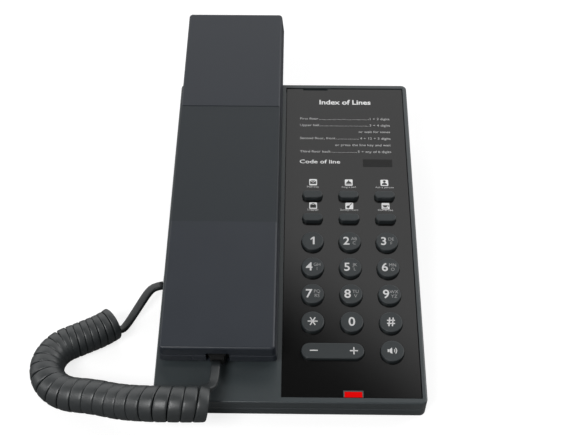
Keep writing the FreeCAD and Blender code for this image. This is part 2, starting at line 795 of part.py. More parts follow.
def loudspeaker():
    """Basket, cone and magnet of the hands-free speaker, under the slots in the deck."""
    x, y = dim("handset_middle"), dim("speaker_back")
    top = -dim("top_wall")
    low = top - dim("speaker_height")
    basket = rod("basket_blank", deck_place(x, y, low), "dims.speaker_radius", "dims.speaker_height")
    bowl = rod(
        "basket_bowl", deck_place(x, y, low + dim("speaker_rim")),
        "dims.speaker_radius - dims.speaker_rim", "dims.speaker_height",
    )
    finish(cut("loudspeaker_basket", basket, bowl), "loudspeaker_basket")
    cones = []
    for name, drop in (("cone_outer", 0.0), ("cone_inner", 0.6)):
        cone = doc.addObject("Part::Cone", name)
        cone.Placement = deck_place(x, y, low + dim("speaker_rim") + 0.3 + drop)
        bind(
            cone, Radius1="dims.speaker_radius * 0.3", Radius2="dims.speaker_radius - dims.speaker_rim - 0.5",
            Height="dims.speaker_height - dims.speaker_rim - 1.2",
        )
        cones.append(cone)
    finish(cut("loudspeaker_cone", cones[0], cones[1]), "loudspeaker_cone")
    magnet = rod(
        "loudspeaker_magnet", deck_place(x, y, low - dim("magnet_height")), "dims.magnet_radius", "dims.magnet_height"
    )
    finish(magnet, "loudspeaker_magnet")


def small_base_parts():
    """Hands-free microphone, cradle pads, rubber feet and the two sets of base screws."""
    floor_top = dim("foot_height") + dim("floor_wall")
    capsule = rod(
        "hands_free_microphone", FreeCAD.Placement(Vec(40.0, -96.0, floor_top), FreeCAD.Rotation()),
        "dims.mic_radius * 1.4", "dims.mic_length * 0.6",
    )
    finish(capsule, "hands_free_microphone")
    pads = []
    for i, back in enumerate(PAD_BACKS):
        corner = deck_place(dim("handset_middle") - dim("pad_width") / 2, back - dim("pad_length") / 2, 0)
        pads.append(block(f"pad_{i}", corner, "dims.pad_width", "dims.pad_length", "dims.pad_height"))
    group("cradle_pads", pads)
    feet = [
        rod(f"foot_{i}", FreeCAD.Placement(Vec(x, y, 0), FreeCAD.Rotation()), "dims.foot_radius", "dims.foot_height")
        for i, (x, y) in enumerate(FOOT_PLACES)
    ]
    group("rubber_feet", feet)
    screws("case_screws", [(x, y, -dim("screw_depth"), 1) for x, y in CASE_SCREW_PLACES])
    screws("board_screws", [(x, y, -dim("board_top"), -1) for x, y in BOARD_SCREW_PLACES])


def screws(label, seats):
    """Pan-head screws: each seat is the place under the head and the way that the shank points."""
    made = []
    for i, (x, y, z, way) in enumerate(seats):
        head_low = z - dim("head_height") if way > 0 else z
        shank_low = z if way > 0 else z - dim("screw_length")
        head = rod(f"{label}_head_{i}", deck_place(x, y, head_low), "dims.head_radius", "dims.head_height")
        shank = rod(f"{label}_shank_{i}", deck_place(x, y, shank_low), "dims.screw_radius", "dims.screw_length")
        made.append(fuse(f"{label}_{i}", [head, shank]))
    group(label, made)


HANDSET_LEFT = "dims.handset_middle - dims.handset_width / 2"
HANDSET_BACK = dim("handset_front") + dim("handset_length")


def side_lean(height):
    """How far the handset's sides have drawn in at a height; they are widest underneath."""
    return f"dims.handset_lean * ({height} - dims.handset_under) / (dims.handset_top - dims.handset_under)"


def handset_shell(label, seam_to, lift, thickness):
    """Half of the handset's case, open at the seam; seam_to is +1 for the upper half."""
    body = new_body(label)
    outline = sketch_in(body, lift="dims.handset_seam")
    rectangle(outline, HANDSET_LEFT, "dims.handset_front", "dims.handset_width", "dims.handset_length")
    add_feature(body, "Pad", outline, thickness, backwards=seam_to < 0)
    sides = sketch_in(body, "XZ_Plane", lift="-dims.handset_front")
    for sign in (-1, 1):
        edge, outside = (f"dims.handset_middle + {sign} * (dims.handset_width / 2 + {more})" for more in (0, 2))
        polygon(sides, [
            (outside, lift), (outside, "dims.handset_seam"),
            (f"{edge} - {sign} * {side_lean('dims.handset_seam')}", "dims.handset_seam"),
            (f"{edge} - {sign} * {side_lean(lift)}", lift),
        ])
    add_feature(body, "Pocket", sides, "dims.handset_length")
    dress(body, "Fillet", upright, "dims.handset_corner")
    dress(body, "Fillet", at_height(size(lift)), "dims.handset_edge")
    dress(body, "Chamfer", at_height(dim("handset_seam")), "dims.seam_chamfer")
    inside = sketch_in(body, lift="dims.handset_seam")
    rectangle(
        inside, HANDSET_LEFT + " + dims.handset_wall + dims.handset_lean", "dims.handset_front + dims.handset_wall",
        "dims.handset_width - 2 * (dims.handset_wall + dims.handset_lean)",
        "dims.handset_length - 2 * dims.handset_wall",
    )
    add_feature(body, "Pocket", inside, f"{thickness} - dims.handset_wall", backwards=seam_to > 0)
    window = sketch_in(body, "XZ_Plane", lift="-dims.handset_front")
    rectangle(
        window, "dims.handset_middle - dims.jack_window_width / 2",
        "dims.handset_jack_height - dims.jack_window_height / 2", "dims.jack_window_width", "dims.jack_window_height",
    )
    add_feature(body, "Pocket", window, "dims.handset_wall + 0.1")
    return body


def handset_case():
    """Back cover with a shallow grip band, and the front cover with the ear holes and voice hole."""
    back = handset_shell("handset_back_cover", 1, "dims.handset_top", "dims.handset_top - dims.handset_seam")
    band = sketch_in(back, lift="dims.handset_top")
    rectangle(band, HANDSET_LEFT + " - 1", "dims.grip_front", "dims.handset_width + 2", "dims.grip_length")
    add_feature(back, "Pocket", band, "dims.grip_sink")
    meeting = "dims.handset_under + dims.handset_wall + dims.ledge_height"
    bosses = sketch_in(back, lift="dims.handset_top - dims.handset_wall")
    pilots = sketch_in(back, lift=meeting)
    for screw_back in HANDSET_SCREW_BACKS:
        circle(bosses, "dims.handset_middle", str(screw_back), "dims.post_radius")
        circle(pilots, "dims.handset_middle", str(screw_back), "dims.screw_radius + dims.pilot_gap")
    add_feature(back, "Pad", bosses, f"dims.handset_top - dims.handset_wall - ({meeting})", backwards=True)
    add_feature(back, "Pocket", pilots, "dims.screw_length - dims.ledge_height + 0.5", backwards=True)
    front = handset_shell("handset_front_cover", -1, "dims.handset_under", "dims.handset_seam - dims.handset_under")
    voice = sketch_in(front, "XZ_Plane", lift="-dims.handset_front")
    circle(voice, "dims.handset_middle - dims.mic_offset", "dims.mic_height", "dims.mic_hole")
    add_feature(front, "Pocket", voice, "dims.handset_wall + 0.1")
    grille = sketch_in(front, lift="dims.handset_under")
    circle(grille, "dims.handset_middle", "dims.ear_middle", "dims.grille_radius")
    for turn in range(0, 360, 60):
        circle(
            grille, f"dims.handset_middle + dims.grille_ring * cos({turn} deg)",
            f"dims.ear_middle + dims.grille_ring * sin({turn} deg)", "dims.grille_radius",
        )
    add_feature(front, "Pocket", grille, "dims.handset_wall + 0.1", backwards=True)
    jack_bed = sketch_in(front, lift="dims.handset_under + dims.handset_wall")
    rectangle(
        jack_bed, "dims.handset_middle - dims.jack_width / 2 - 0.2", "dims.handset_front + dims.handset_wall",
        "dims.jack_width + 0.4", "dims.jack_depth + 0.4",
    )
    jack_under = "dims.handset_jack_height - dims.jack_height / 2"
    add_feature(front, "Pocket", jack_bed, f"dims.handset_under + dims.handset_wall - ({jack_under})")
    ledges = sketch_in(front, lift="dims.handset_under + dims.handset_wall")
    heads = sketch_in(front, lift="dims.handset_under")
    shafts = sketch_in(front, lift="dims.handset_under + dims.handset_wall")
    for screw_back in HANDSET_SCREW_BACKS:
        circle(ledges, "dims.handset_middle", str(screw_back), "dims.post_radius")
        circle(heads, "dims.handset_middle", str(screw_back), "dims.head_radius + 0.3")
        circle(shafts, "dims.handset_middle", str(screw_back), "dims.screw_radius + 2 * dims.pilot_gap")
    add_feature(front, "Pad", ledges, "dims.ledge_height")
    add_feature(front, "Pocket", heads, "dims.handset_wall", backwards=True)
    add_feature(front, "Pocket", shafts, "dims.ledge_height", backwards=True)


def handset_insides():
    """Earpiece with its foam ring, voice capsule, steel weight and screws of the handset."""
    x = dim("handset_middle")
    inner_floor = dim("handset_under") + dim("handset_wall")
    ring = rod("ring_blank", deck_place(x, dim("ear_middle"), inner_floor), "dims.ear_radius", "1")
    ring_bore = rod(
        "ring_bore", deck_place(x, dim("ear_middle"), inner_floor - 1), "dims.ear_radius - 4", "3"
    )
    finish(cut("earpiece_foam_ring", ring, ring_bore), "earpiece_foam_ring")
    receiver = rod(
        "earpiece_receiver", deck_place(x, dim("ear_middle"), inner_floor + 1), "dims.ear_radius", "dims.ear_height"
    )
    finish(receiver, "earpiece_receiver")
    capsule = rod(
        "handset_microphone",
        deck_place(x - dim("mic_offset"), dim("handset_front") + dim("handset_wall") + 0.1, dim("mic_height") + 1.5)
        * FreeCAD.Placement(Vec(), FreeCAD.Rotation(Vec(1, 0, 0), -90)),
        "dims.mic_radius", "dims.mic_length",
    )
    finish(capsule, "handset_microphone")
    weight = block(
        "handset_weight", deck_place(x - dim("weight_width") / 2, 92.0, dim("handset_top") - dim("handset_wall")
                                     - dim("weight_height")),
        "dims.weight_width", "dims.weight_length", "dims.weight_height",
    )
    finish(weight, "handset_weight")
    head_seat = dim("handset_under") + dim("handset_wall")
    screws("handset_screws", [(x, back, head_seat, 1) for back in HANDSET_SCREW_BACKS])


# Cord: the wire of the curls winds about a smooth axis, and each end runs on into a tail.
curl_axis = Part.BSplineCurve()
curl_axis.buildFromPoles([Vec(*point) for point in CURL_AXIS], False, 2)
AXIS_LENGTH = curl_axis.length()
WOUND_LENGTH = AXIS_LENGTH - dim("curl_lead_out")
START_TURN = math.radians(dim("curl_start_angle"))
END_TURN = math.radians(dim("curl_end_angle")) + 2 * math.pi * dim("curl_whole_turns")


def pitch_at(distance):
    """Pitch of the curls at a distance along the axis, from the nearest two of CURL_PITCHES."""
    for (low, first), (high, second) in zip(CURL_PITCHES, CURL_PITCHES[1:]):
        if distance <= high:
            return first + (second - first) * (distance - low) / (high - low)


def winding_table(step=0.05):
    """Distances along the axis and the winding angles there; the winding slows to nothing over the lead-out."""
    count = math.ceil(AXIS_LENGTH / step)
    distances = [AXIS_LENGTH * i / count for i in range(count + 1)]
    angles = [0.0]
    for low, high in zip(distances, distances[1:]):
        middle = (low + high) / 2
        slowing = 1 - max(0.0, middle - WOUND_LENGTH) / dim("curl_lead_out")
        angles.append(angles[-1] + (high - low) * slowing / pitch_at(middle))
    # The pitches are scaled a little, so that a whole number of turns fits between the two end angles.
    scale = (END_TURN - START_TURN) / angles[-1]
    return distances, [START_TURN + angle * scale for angle in angles], scale / (2 * math.pi)


AXIS_DISTANCES, AXIS_ANGLES, PITCH_SCALE = winding_table()


def between(value, known, wanted):
    """The wanted list's value where the known list, which rises, has a value."""
    i = min(max(bisect.bisect_left(known, value), 1), len(known) - 1)
    share = (value - known[i - 1]) / (known[i] - known[i - 1])
    return wanted[i - 1] + (wanted[i] - wanted[i - 1]) * share


def axis_frame(distance):
    """Point, tangent, sideways and upward directions of the curls' axis at a distance along it."""
    parameter = curl_axis.parameterAtDistance(distance, curl_axis.FirstParameter)
    along = Vec(*curl_axis.tangent(parameter)[0])
    sideways = UP.cross(along).normalize()
    return curl_axis.value(parameter), along, sideways, along.cross(sideways)


def curl_point(distance):
    point, _, sideways, upward = axis_frame(distance)
    turn = between(distance, AXIS_DISTANCES, AXIS_ANGLES)
    return point + (upward * math.cos(turn) + sideways * math.sin(turn)) * dim("curl_radius")


def curl_tangent(distance):
    step = 0.02
    low, high = max(0.0, distance - step), min(AXIS_LENGTH, distance + step)
    return (curl_point(high) - curl_point(low)).normalize()


def arc_from(start, tangent, stop):
    """Arc that leaves start along a tangent and ends at stop."""
    chord = stop - start
    along = Vec(chord).normalize()
    rise = tangent - along * tangent.dot(along)
    if rise.Length < 1e-6:
        return Part.LineSegment(start, stop)
    angle = math.atan2(rise.Length, tangent.dot(along))
    middle = start + chord * 0.5 + rise.normalize() * (chord.Length / 2 * math.tan(angle / 2))
    return Part.Arc(start, middle, stop)


def biarc(start, start_tangent, stop, stop_tangent):
    """Two arcs that join two points and keep both tangents."""
    chord = stop - start
    total = start_tangent + stop_tangent
    spread = 2 * (1 - start_tangent.dot(stop_tangent))
    reach = chord.dot(total)
    handle = (math.sqrt(reach ** 2 + spread * chord.dot(chord)) - reach) / spread
    joint = (start + stop + (start_tangent - stop_tangent) * handle) * 0.5
    first = arc_from(start, start_tangent, joint)
    second = arc_from(stop, stop_tangent * -1, joint)
    second.reverse()
    return [first, second]


def tube(path, start, direction, thickness):
    section = Part.Wire([Part.Circle(start, direction, thickness / 2).toShape()])
    shell = Part.BRepOffsetAPI.MakePipeShell(path)
    shell.add(section, False, False)
    shell.build()
    shell.makeSolid()
    return shell.shape()


def cord_piece(label, pieces):
    """A tube of the cord's thickness along lines and arcs, compared with section times length."""
    thickness = dim("cord_thick")
    path = Part.Wire([piece.toShape() for piece in pieces])
    start = pieces[0].value(pieces[0].FirstParameter)
    direction = Vec(*pieces[0].tangent(pieces[0].FirstParameter)[0])
    item = doc.addObject("Part::Feature", label)
    item.Shape = tube(path, start, direction, thickness)
    item.Placement = FreeCAD.Placement()
    expected = math.pi * thickness ** 2 / 4 * path.Length
    print(f"{label}: {path.Length:.1f} mm long, volume over section times length {item.Shape.Volume / expected:.4f}")
    finish(item, label)
    return path


def route_pieces(label, points):
    """Straight runs joined by arcs as large as their runs allow."""
    pieces = []
    at = points[0]
    for before, corner, after in zip(points, points[1:], points[2:]):
        come, leave = (corner - before), (after - corner)
        shorter = min(come.Length, leave.Length)
        come.normalize()
        leave.normalize()
        half_turn = come.getAngle(leave) / 2
        radius = 0.45 * shorter / math.tan(half_turn)
        print(f"{label}: turn of {math.degrees(2 * half_turn):.0f} degrees on a radius of {radius:.1f} mm")
        into, out = corner - come * (0.45 * shorter), corner + leave * (0.45 * shorter)
        pieces += [Part.LineSegment(at, into), arc_from(into, come, out)]
        at = out
    return pieces + [Part.LineSegment(at, points[-1])]


def least_gap(points, thickness, apart):
    """Least clear distance between parts of a tube that lie more than a length apart along it."""
    runs = [0.0]
    for first, second in zip(points, points[1:]):
        runs.append(runs[-1] + first.distanceToPoint(second))
    return min(
        points[i].distanceToPoint(points[j]) - thickness
        for i in range(len(points)) for j in range(i + 1, len(points))
        if apart < runs[j] - runs[i] < 4 * apart
    )


def cord():
    thickness = dim("cord_thick")
    quarter = math.pi / 2
    count = math.ceil((END_TURN - START_TURN) / quarter)
    turns = [START_TURN + (END_TURN - START_TURN) * i / count for i in range(count + 1)]
    stations = [between(turn, AXIS_ANGLES, AXIS_DISTANCES) for turn in turns]
    places = [curl_point(distance) for distance in stations]
    tangents = [curl_tangent(distance) for distance in stations]
    first = places[0] - tangents[0] * thickness
    last = places[-1] + tangents[-1] * thickness
    pieces = [Part.LineSegment(first, places[0])]
    for i in range(count):
        pieces += biarc(places[i], tangents[i], places[i + 1], tangents[i + 1])
    pieces.append(Part.LineSegment(places[-1], last))
    cord_piece("cord_curls", pieces)
    samples = [piece.value(piece.FirstParameter + (piece.LastParameter - piece.FirstParameter) * k / 5)
               for piece in pieces for k in range(5)]
    gap = least_gap(samples, thickness, math.pi * dim("curl_radius"))
    turn_count = (END_TURN - START_TURN) / (2 * math.pi)
    print(f"curls: {turn_count:.1f} turns, pitches times {1 / PITCH_SCALE:.3f}, least gap {gap:.2f} mm")
    # Each tail leaves its plug and meets the curls along their own lines.
    run = dim("tail_run")
    handset_exit, handset_run = (HANDSET_JACK.multVec(Vec(0, -dim("plug_outside") - step, 0)) for step in (0, run))
    base_exit = BASE_JACK.multVec(Vec(0, -dim("plug_outside"), 0))
    handset_route = [handset_exit, handset_run, first - tangents[0] * run, first]
    cord_piece("cord_tail_handset", route_pieces("handset tail", handset_route))
    base_route = [base_exit, *(Vec(*point) for point in BASE_TAIL_TURNS), last + tangents[-1] * run, last]
    cord_piece("cord_tail_base", route_pieces("base tail", base_route))
    print("handset tail route", [tuple(round(c, 2) for c in point) for point in handset_route])
    print("base tail route", [tuple(round(c, 2) for c in point) for point in base_route])


for build in (
    base_upper_cover, base_lower_shell, faceplate, round_keys, bar_keys, message_lamp, keypad_mat, circuit_board,
    sockets_and_plugs, hook_switch, loudspeaker, small_base_parts, handset_case, handset_insides, cord,
):
    build()

doc.recompute()
for item in doc.Objects:
    if "Invalid" in item.State or "Error" in item.State:
        raise RuntimeError(f"{item.Label} failed: {item.State}")
for item in sub_parts:
    if item.Shape.isNull() or not item.Shape.isValid() or not item.Shape.Solids:
        raise RuntimeError(f"{item.Label} has no valid solid")
os.makedirs("parts", exist_ok=True)
for item in sub_parts:
    item.Shape.exportStep(f"parts/{item.Label}.step")
print(f"wrote {len(sub_parts)} sub-parts")
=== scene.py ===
# %% [markdown]
# # A desk telephone, dressed for its picture
#
# The solids of this telephone come ready made from the shared frame: casing, keys, handset, sockets and cord.
# This notebook gives them their looks. It sets the camera where the photograph was taken, lays a smooth flat cord
# over the plain one, prints the keys and the panel, and mixes a surface for every material.
#
# Lengths are real. Small sizes are written in millimetres and turned into metres with `MM`.

# %% Load the frame
import bisect
import json
import math
import bmesh
import bpy
from mathutils import Matrix, Vector, kdtree

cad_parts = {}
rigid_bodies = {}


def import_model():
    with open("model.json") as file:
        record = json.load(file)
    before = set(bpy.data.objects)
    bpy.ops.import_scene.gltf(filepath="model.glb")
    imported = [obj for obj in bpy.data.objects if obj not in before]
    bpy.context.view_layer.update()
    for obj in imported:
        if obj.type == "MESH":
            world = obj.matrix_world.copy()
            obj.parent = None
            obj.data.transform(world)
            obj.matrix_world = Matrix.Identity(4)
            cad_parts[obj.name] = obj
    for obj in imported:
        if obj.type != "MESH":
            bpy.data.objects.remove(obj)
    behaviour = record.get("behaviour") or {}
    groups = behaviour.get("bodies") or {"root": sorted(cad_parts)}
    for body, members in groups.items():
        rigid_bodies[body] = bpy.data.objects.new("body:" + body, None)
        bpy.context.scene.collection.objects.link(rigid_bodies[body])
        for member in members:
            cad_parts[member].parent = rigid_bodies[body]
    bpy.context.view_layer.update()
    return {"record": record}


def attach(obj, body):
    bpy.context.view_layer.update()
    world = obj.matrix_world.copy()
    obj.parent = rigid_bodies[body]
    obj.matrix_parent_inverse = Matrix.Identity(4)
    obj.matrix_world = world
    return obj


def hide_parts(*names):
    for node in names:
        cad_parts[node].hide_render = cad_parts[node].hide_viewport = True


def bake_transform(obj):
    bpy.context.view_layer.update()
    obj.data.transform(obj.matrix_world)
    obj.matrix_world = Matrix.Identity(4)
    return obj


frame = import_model()
scene = bpy.context.scene
MM = 0.001

# %% [markdown]
# ## Deck places
#
# Nearly everything on this object lies on one sloping face, the deck. So places are given on the deck: x to the
# right from the middle of the base, y back from its front edge, and a height out of the face. One matrix takes them
# to the frame's own axes. The other way would be to write each height by hand, which hides what lies level with what.

# %% Deck matrix
TILT = math.radians(10)
DECK_START = Vector((0, -0.11736, 0.013606))
DECK = Matrix.Translation(DECK_START) @ Matrix.Rotation(TILT, 4, "X")
# Heights above the deck, in millimetres.
PANEL_TOP, LENS_TOP = -0.5, -0.35
KEY_TOP, VOLUME_TOP = 1.6, 1.2
deck_normal = DECK.to_3x3() @ Vector((0, 0, 1))
print("deck normal:", tuple(round(part, 4) for part in deck_normal))

# %% [markdown]
# ## Camera
#
# The photograph looks down at about 45 degrees from the user's side. A camera fitted to the panel's outline and
# the rows of keys gave its place and its axes. The lens follows from the fitted focal length of 1053 pixels in an
# image 573 pixels wide, on a sensor 36 mm wide.

# %% Camera
IMAGE_WIDTH = 573
FOCAL_PIXELS = 1053.0
SENSOR_WIDTH = 36.0
CAMERA_PLACE = Vector((0.003004, -0.403134, 0.420061))
CAMERA_RIGHT = Vector((0.9999, 0.01381, -0.00144))
CAMERA_FORWARD = Vector((-0.0108, 0.7082, -0.70593))

back = -CAMERA_FORWARD.normalized()
right = (CAMERA_RIGHT - back * CAMERA_RIGHT.dot(back)).normalized()
up = back.cross(right)
camera_data = bpy.data.cameras.new("camera")
camera_data.sensor_width = SENSOR_WIDTH
camera_data.lens = FOCAL_PIXELS / IMAGE_WIDTH * SENSOR_WIDTH
camera_data.clip_start = 0.01
camera = bpy.data.objects.new("camera", camera_data)
camera.matrix_world = Matrix.Translation(CAMERA_PLACE) @ Matrix((right, up, back)).transposed().to_4x4()
scene.collection.objects.link(camera)
scene.camera = camera
print("lens:", round(camera_data.lens, 2), "mm")

# %% [markdown]
# ## Surfaces as sums
#
# A surface here is a few lines of arithmetic on node sockets. `Value` wraps a socket so that `1 - a * b` makes the
# Math nodes, and `Surface` opens a material, or the world, with one method that adds any other node. Wiring the
# links by hand would say the same in five times the lines.

# %% Values
# Numbers of the Mix node's colour sockets, whose names it shares with its other sockets.
COLOUR_A, COLOUR_B, COLOUR_OUT = 6, 7, 2


class Value:
    """An output socket that arithmetic works on."""

    def __init__(self, surface, socket):
        self.surface, self.socket = surface, socket

    def math(self, operation, other):
        return self.surface.node("ShaderNodeMath", {0: self, 1: other}, operation=operation)

    def __add__(self, other):
        return self.math("ADD", other)

    def __sub__(self, other):
        return self.math("SUBTRACT", other)

    def __mul__(self, other):
        return self.math("MULTIPLY", other)

    def __rsub__(self, other):
        return self * -1.0 + other

    __radd__, __rmul__ = __add__, __mul__

    def between(self, low, high):
        """0 below low, 1 above high, and smooth in between."""
        sockets = {0: self, 1: low, 2: high}
        return self.surface.node("ShaderNodeMapRange", sockets, interpolation_type="SMOOTHSTEP")

    def mix(self, first, second):
        """A colour that goes from first to second as this value goes from 0 to 1."""
        sockets = {0: self, COLOUR_A: first, COLOUR_B: second}
        return self.surface.node("ShaderNodeMix", sockets, out=COLOUR_OUT, data_type="RGBA")


print("values add, subtract, multiply, compare and mix")


# %% Surfaces
class Surface:
    """A material with one principled shader, whose inputs are set by name; or the world, if that is given."""

    def __init__(self, name, world=None):
        self.material = world or bpy.data.materials.new(name)
        self.material.use_nodes = True
        self.tree = self.material.node_tree
        self.shader = self.tree.nodes.get("Principled BSDF")

    def plug(self, socket, value):
        """Links a value to a socket, or sets the socket to a number or a colour."""
        if isinstance(value, Value):
            self.tree.links.new(value.socket, socket)
        elif socket.type == "RGBA":
            socket.default_value = (*value, 1.0)
        else:
            socket.default_value = value

    def node(self, kind, sockets, out=0, **settings):
        """Adds a node: first its settings, then the values or links of its sockets, by name or number."""
        made = self.tree.nodes.new(kind)
        for name, setting in settings.items():
            setattr(made, name, setting)
        for key, value in sockets.items():
            self.plug(made.inputs[key], value)
        return Value(self, made.outputs[out])

    def place(self):
        """Object coordinates, which for every piece are the frame's own metres."""
        return self.node("ShaderNodeTexCoord", {}, out="Object")

    def parts(self, vector):
        """The three parts of a vector."""
        split = self.node("ShaderNodeSeparateXYZ", {0: vector}).socket.node
        return [Value(self, socket) for socket in split.outputs]

    def noise(self, size, detail=2.0):
        """Cloudy values about 0.5 whose lumps are about size metres across."""
        return self.node("ShaderNodeTexNoise", {"Vector": self.place(), "Scale": 1.0 / size, "Detail": detail})

    def bump(self, height, depth):
        """Normals as if the surface rose by depth metres where height goes from 0 to 1."""
        return self.node("ShaderNodeBump", {"Strength": 1.0, "Distance": depth, "Height": height})

    def set(self, **inputs):
        """Sets the shader's inputs, such as base_color, and returns the material."""
        for name, value in inputs.items():
            self.plug(self.shader.inputs[name.replace("_", " ").title().replace("Ior", "IOR")], value)
        return self.material


def grey(level, tint=(1.0, 1.0, 1.0)):
    """A grey level with a tint."""
    return tuple(level * part for part in tint)


print("surfaces take nodes, noise and bump")

# %% [markdown]
# ## Moulded plastic
#
# The casing and the handset are black plastic with a fine spark-eroded grain, about a sixth of a millimetre from
# lump to lump. Three things make it: slight clouds in the colour, the same clouds in the roughness, and the grain
# as a bump. One function mixes it for every moulded piece but the handset.

# %% Casing and key surfaces
GRAIN, GRAIN_DEPTH = 0.00016, 0.000012
CLOUD, CLOUD_DETAIL = 0.018, 3.0
# How far the clouds move the colour, as a share, and the roughness.
COLOUR_SWING, ROUGHNESS_SWING = 0.08, 0.08
GREENISH = (0.80, 1.0, 1.08)


def moulded(name, level, tint, roughness, grain_depth=GRAIN_DEPTH):
    """A grained plastic of a grey level, a tint and a mean roughness."""
    surface = Surface(name)
    clouds = surface.noise(CLOUD, CLOUD_DETAIL)
    surface.set(
        base_color=clouds.mix(grey(level * (1 - COLOUR_SWING), tint), grey(level * (1 + COLOUR_SWING), tint)),
        roughness=clouds * ROUGHNESS_SWING + (roughness - ROUGHNESS_SWING / 2),
        normal=surface.bump(surface.noise(GRAIN, 1.0), grain_depth),
    )
    return surface


casing = moulded("casing_plastic", 0.042, GREENISH, 0.33).set(specular_ior_level=0.7)
key_plastic = moulded("key_plastic", 0.025, GREENISH, 0.44, 0.000008).material
socket_plastic = moulded("socket_plastic", 0.012, GREENISH, 0.35, 0.000004).material
plunger_plastic = moulded("plunger_plastic", 0.06, GREENISH, 0.45).material
print("moulded plastics: casing, keys, sockets, plunger")

# %% [markdown]
# ## Handset plastic
#
# The handset's middle third is coloured darker and more teal than its two ends, and is a little rougher. A mask
# from the place along the deck parts the two colours: y on the deck is a sum of the frame's Y and Z.

# %% Handset surface
# Where along the deck, in millimetres, the darker middle third starts and ends, and half the width of its edge.
DARK_BAND_FRONT, DARK_BAND_BACK, DARK_BAND_EDGE = 91.4, 168.2, 0.1
BLUISH, TEALISH = (0.78, 1.0, 1.38), (0.66, 1.0, 1.3)


def deck_y(surface):
    """The deck's y in millimetres, at the shaded point."""
    _, y, z = surface.parts(surface.place())
    return ((y - DECK_START.y) * math.cos(TILT) + (z - DECK_START.z) * math.sin(TILT)) * (1 / MM)


handset = Surface("handset_plastic")
along = deck_y(handset)
past_front = along.between(DARK_BAND_FRONT - DARK_BAND_EDGE, DARK_BAND_FRONT + DARK_BAND_EDGE)
past_back = along.between(DARK_BAND_BACK - DARK_BAND_EDGE, DARK_BAND_BACK + DARK_BAND_EDGE)
in_dark_band = past_front - past_back
clouds = handset.noise(CLOUD, CLOUD_DETAIL)
outer = clouds.mix(grey(0.0180, BLUISH), grey(0.0206, BLUISH))
# The middle third's colour, darker and more teal than the two ends.
dark_band_colour = clouds.mix(grey(0.0130, TEALISH), grey(0.0146, TEALISH))
handset_plastic = handset.set(
    base_color=in_dark_band.mix(outer, dark_band_colour),
    roughness=clouds * ROUGHNESS_SWING + in_dark_band * 0.05 + 0.38,
    normal=handset.bump(handset.noise(GRAIN, 1.0), GRAIN_DEPTH),
)
print("handset plastic with a grip band", round(DARK_BAND_BACK - DARK_BAND_FRONT, 1), "mm long")

# %% [markdown]
# ## Panel, lamp and cord surfaces
#
# The panel is a smooth lacquered sheet with hardly any grain, so that it mirrors the studio and falls off to black
# at its near end. The lamp is a plain red that glows a little. The cord's jacket is a satin black with fine drag
# marks from the die. The number window is a dull dark film.

# %% Panel, lamp and cord
panel = Surface("panel_lacquer")
orange_peel = panel.noise(0.004, 1.0)
panel_lacquer = panel.set(
    base_color=panel.noise(0.03).mix(grey(0.0045), grey(0.0055)),
    roughness=orange_peel * 0.02 + 0.08,
    normal=panel.bump(orange_peel, 0.000001),
)

lamp = Surface("lamp_lens")
lamp_depth = lamp.noise(0.0012)
lamp_lens = lamp.set(
    base_color=lamp_depth.mix((0.42, 0.0, 0.0), (0.50, 0.0, 0.0)),
    roughness=lamp_depth * 0.06 + 0.4,
    specular_ior_level=0.05,
    emission_color=lamp_depth.mix((1.0, 0.0, 0.0), (0.9, 0.0, 0.0)),
    emission_strength=0.25,
)

jacket = Surface("cord_jacket")
drag = jacket.noise(0.0006)
cord_jacket = jacket.set(
    base_color=jacket.noise(0.012).mix(grey(0.015, GREENISH), grey(0.018, GREENISH)),
    roughness=drag * 0.08 + 0.42,
    specular_ior_level=0.85,
    normal=jacket.bump(drag, 0.00001),
)

film = Surface("window_film")
film_clouds = film.noise(0.003)
window_film = film.set(
    base_color=film_clouds.mix(grey(0.018), grey(0.022)),
    roughness=film_clouds * 0.1 + 0.45,
    specular_ior_level=0.15,
)
print("panel, lamp, cord and number window surfaces")

# %% [markdown]
# ## Surfaces inside and underneath
#
# The parts that show only from below, behind or with the handset up still get their own surfaces: rubber, circuit
# board, plated steel, paper, foam and the plugs' smooth black. They are all speckles of two colours, so one function
# makes them. A table then gives every solid the surface of its material.

# %% Hidden surfaces
def speckled(name, first, second, size, roughness, metallic=0.0, depth=0.00001):
    """Specks about size metres across in two colours, which also move the roughness and the height."""
    surface = Surface(name)
    spots = surface.noise(size, 3.0)
    return surface.set(
        base_color=spots.mix(first, second),
        roughness=spots * 0.15 + (roughness - 0.07),
        metallic=metallic,
        normal=surface.bump(spots, depth),
    )


rubber = speckled("rubber_black", grey(0.016), grey(0.026), 0.0006, 0.78, depth=0.00003)
board_mask = speckled("board_mask", (0.008, 0.06, 0.02), (0.012, 0.11, 0.04), 0.0025, 0.35)
steel = speckled("plated_steel", (0.42, 0.42, 0.43), (0.56, 0.56, 0.58), 0.0008, 0.34, metallic=1.0)
magnet_grey = speckled("magnet_grey", grey(0.07), grey(0.11), 0.0007, 0.6, depth=0.00004)
cone_paper = speckled("cone_paper", grey(0.02), grey(0.04), 0.0005, 0.85, depth=0.00004)
foam = speckled("foam_black", grey(0.012), grey(0.03), 0.0005, 0.95, depth=0.0001)
capsule_can = speckled("capsule_can", (0.5, 0.5, 0.5), (0.62, 0.62, 0.63), 0.0005, 0.4, metallic=1.0)
resin = speckled("lamp_resin", (0.8, 0.74, 0.6), (0.86, 0.82, 0.7), 0.0006, 0.3)
plug_plastic = speckled("plug_plastic", grey(0.003), grey(0.005), 0.001, 0.4)
print("hidden surfaces: 9")

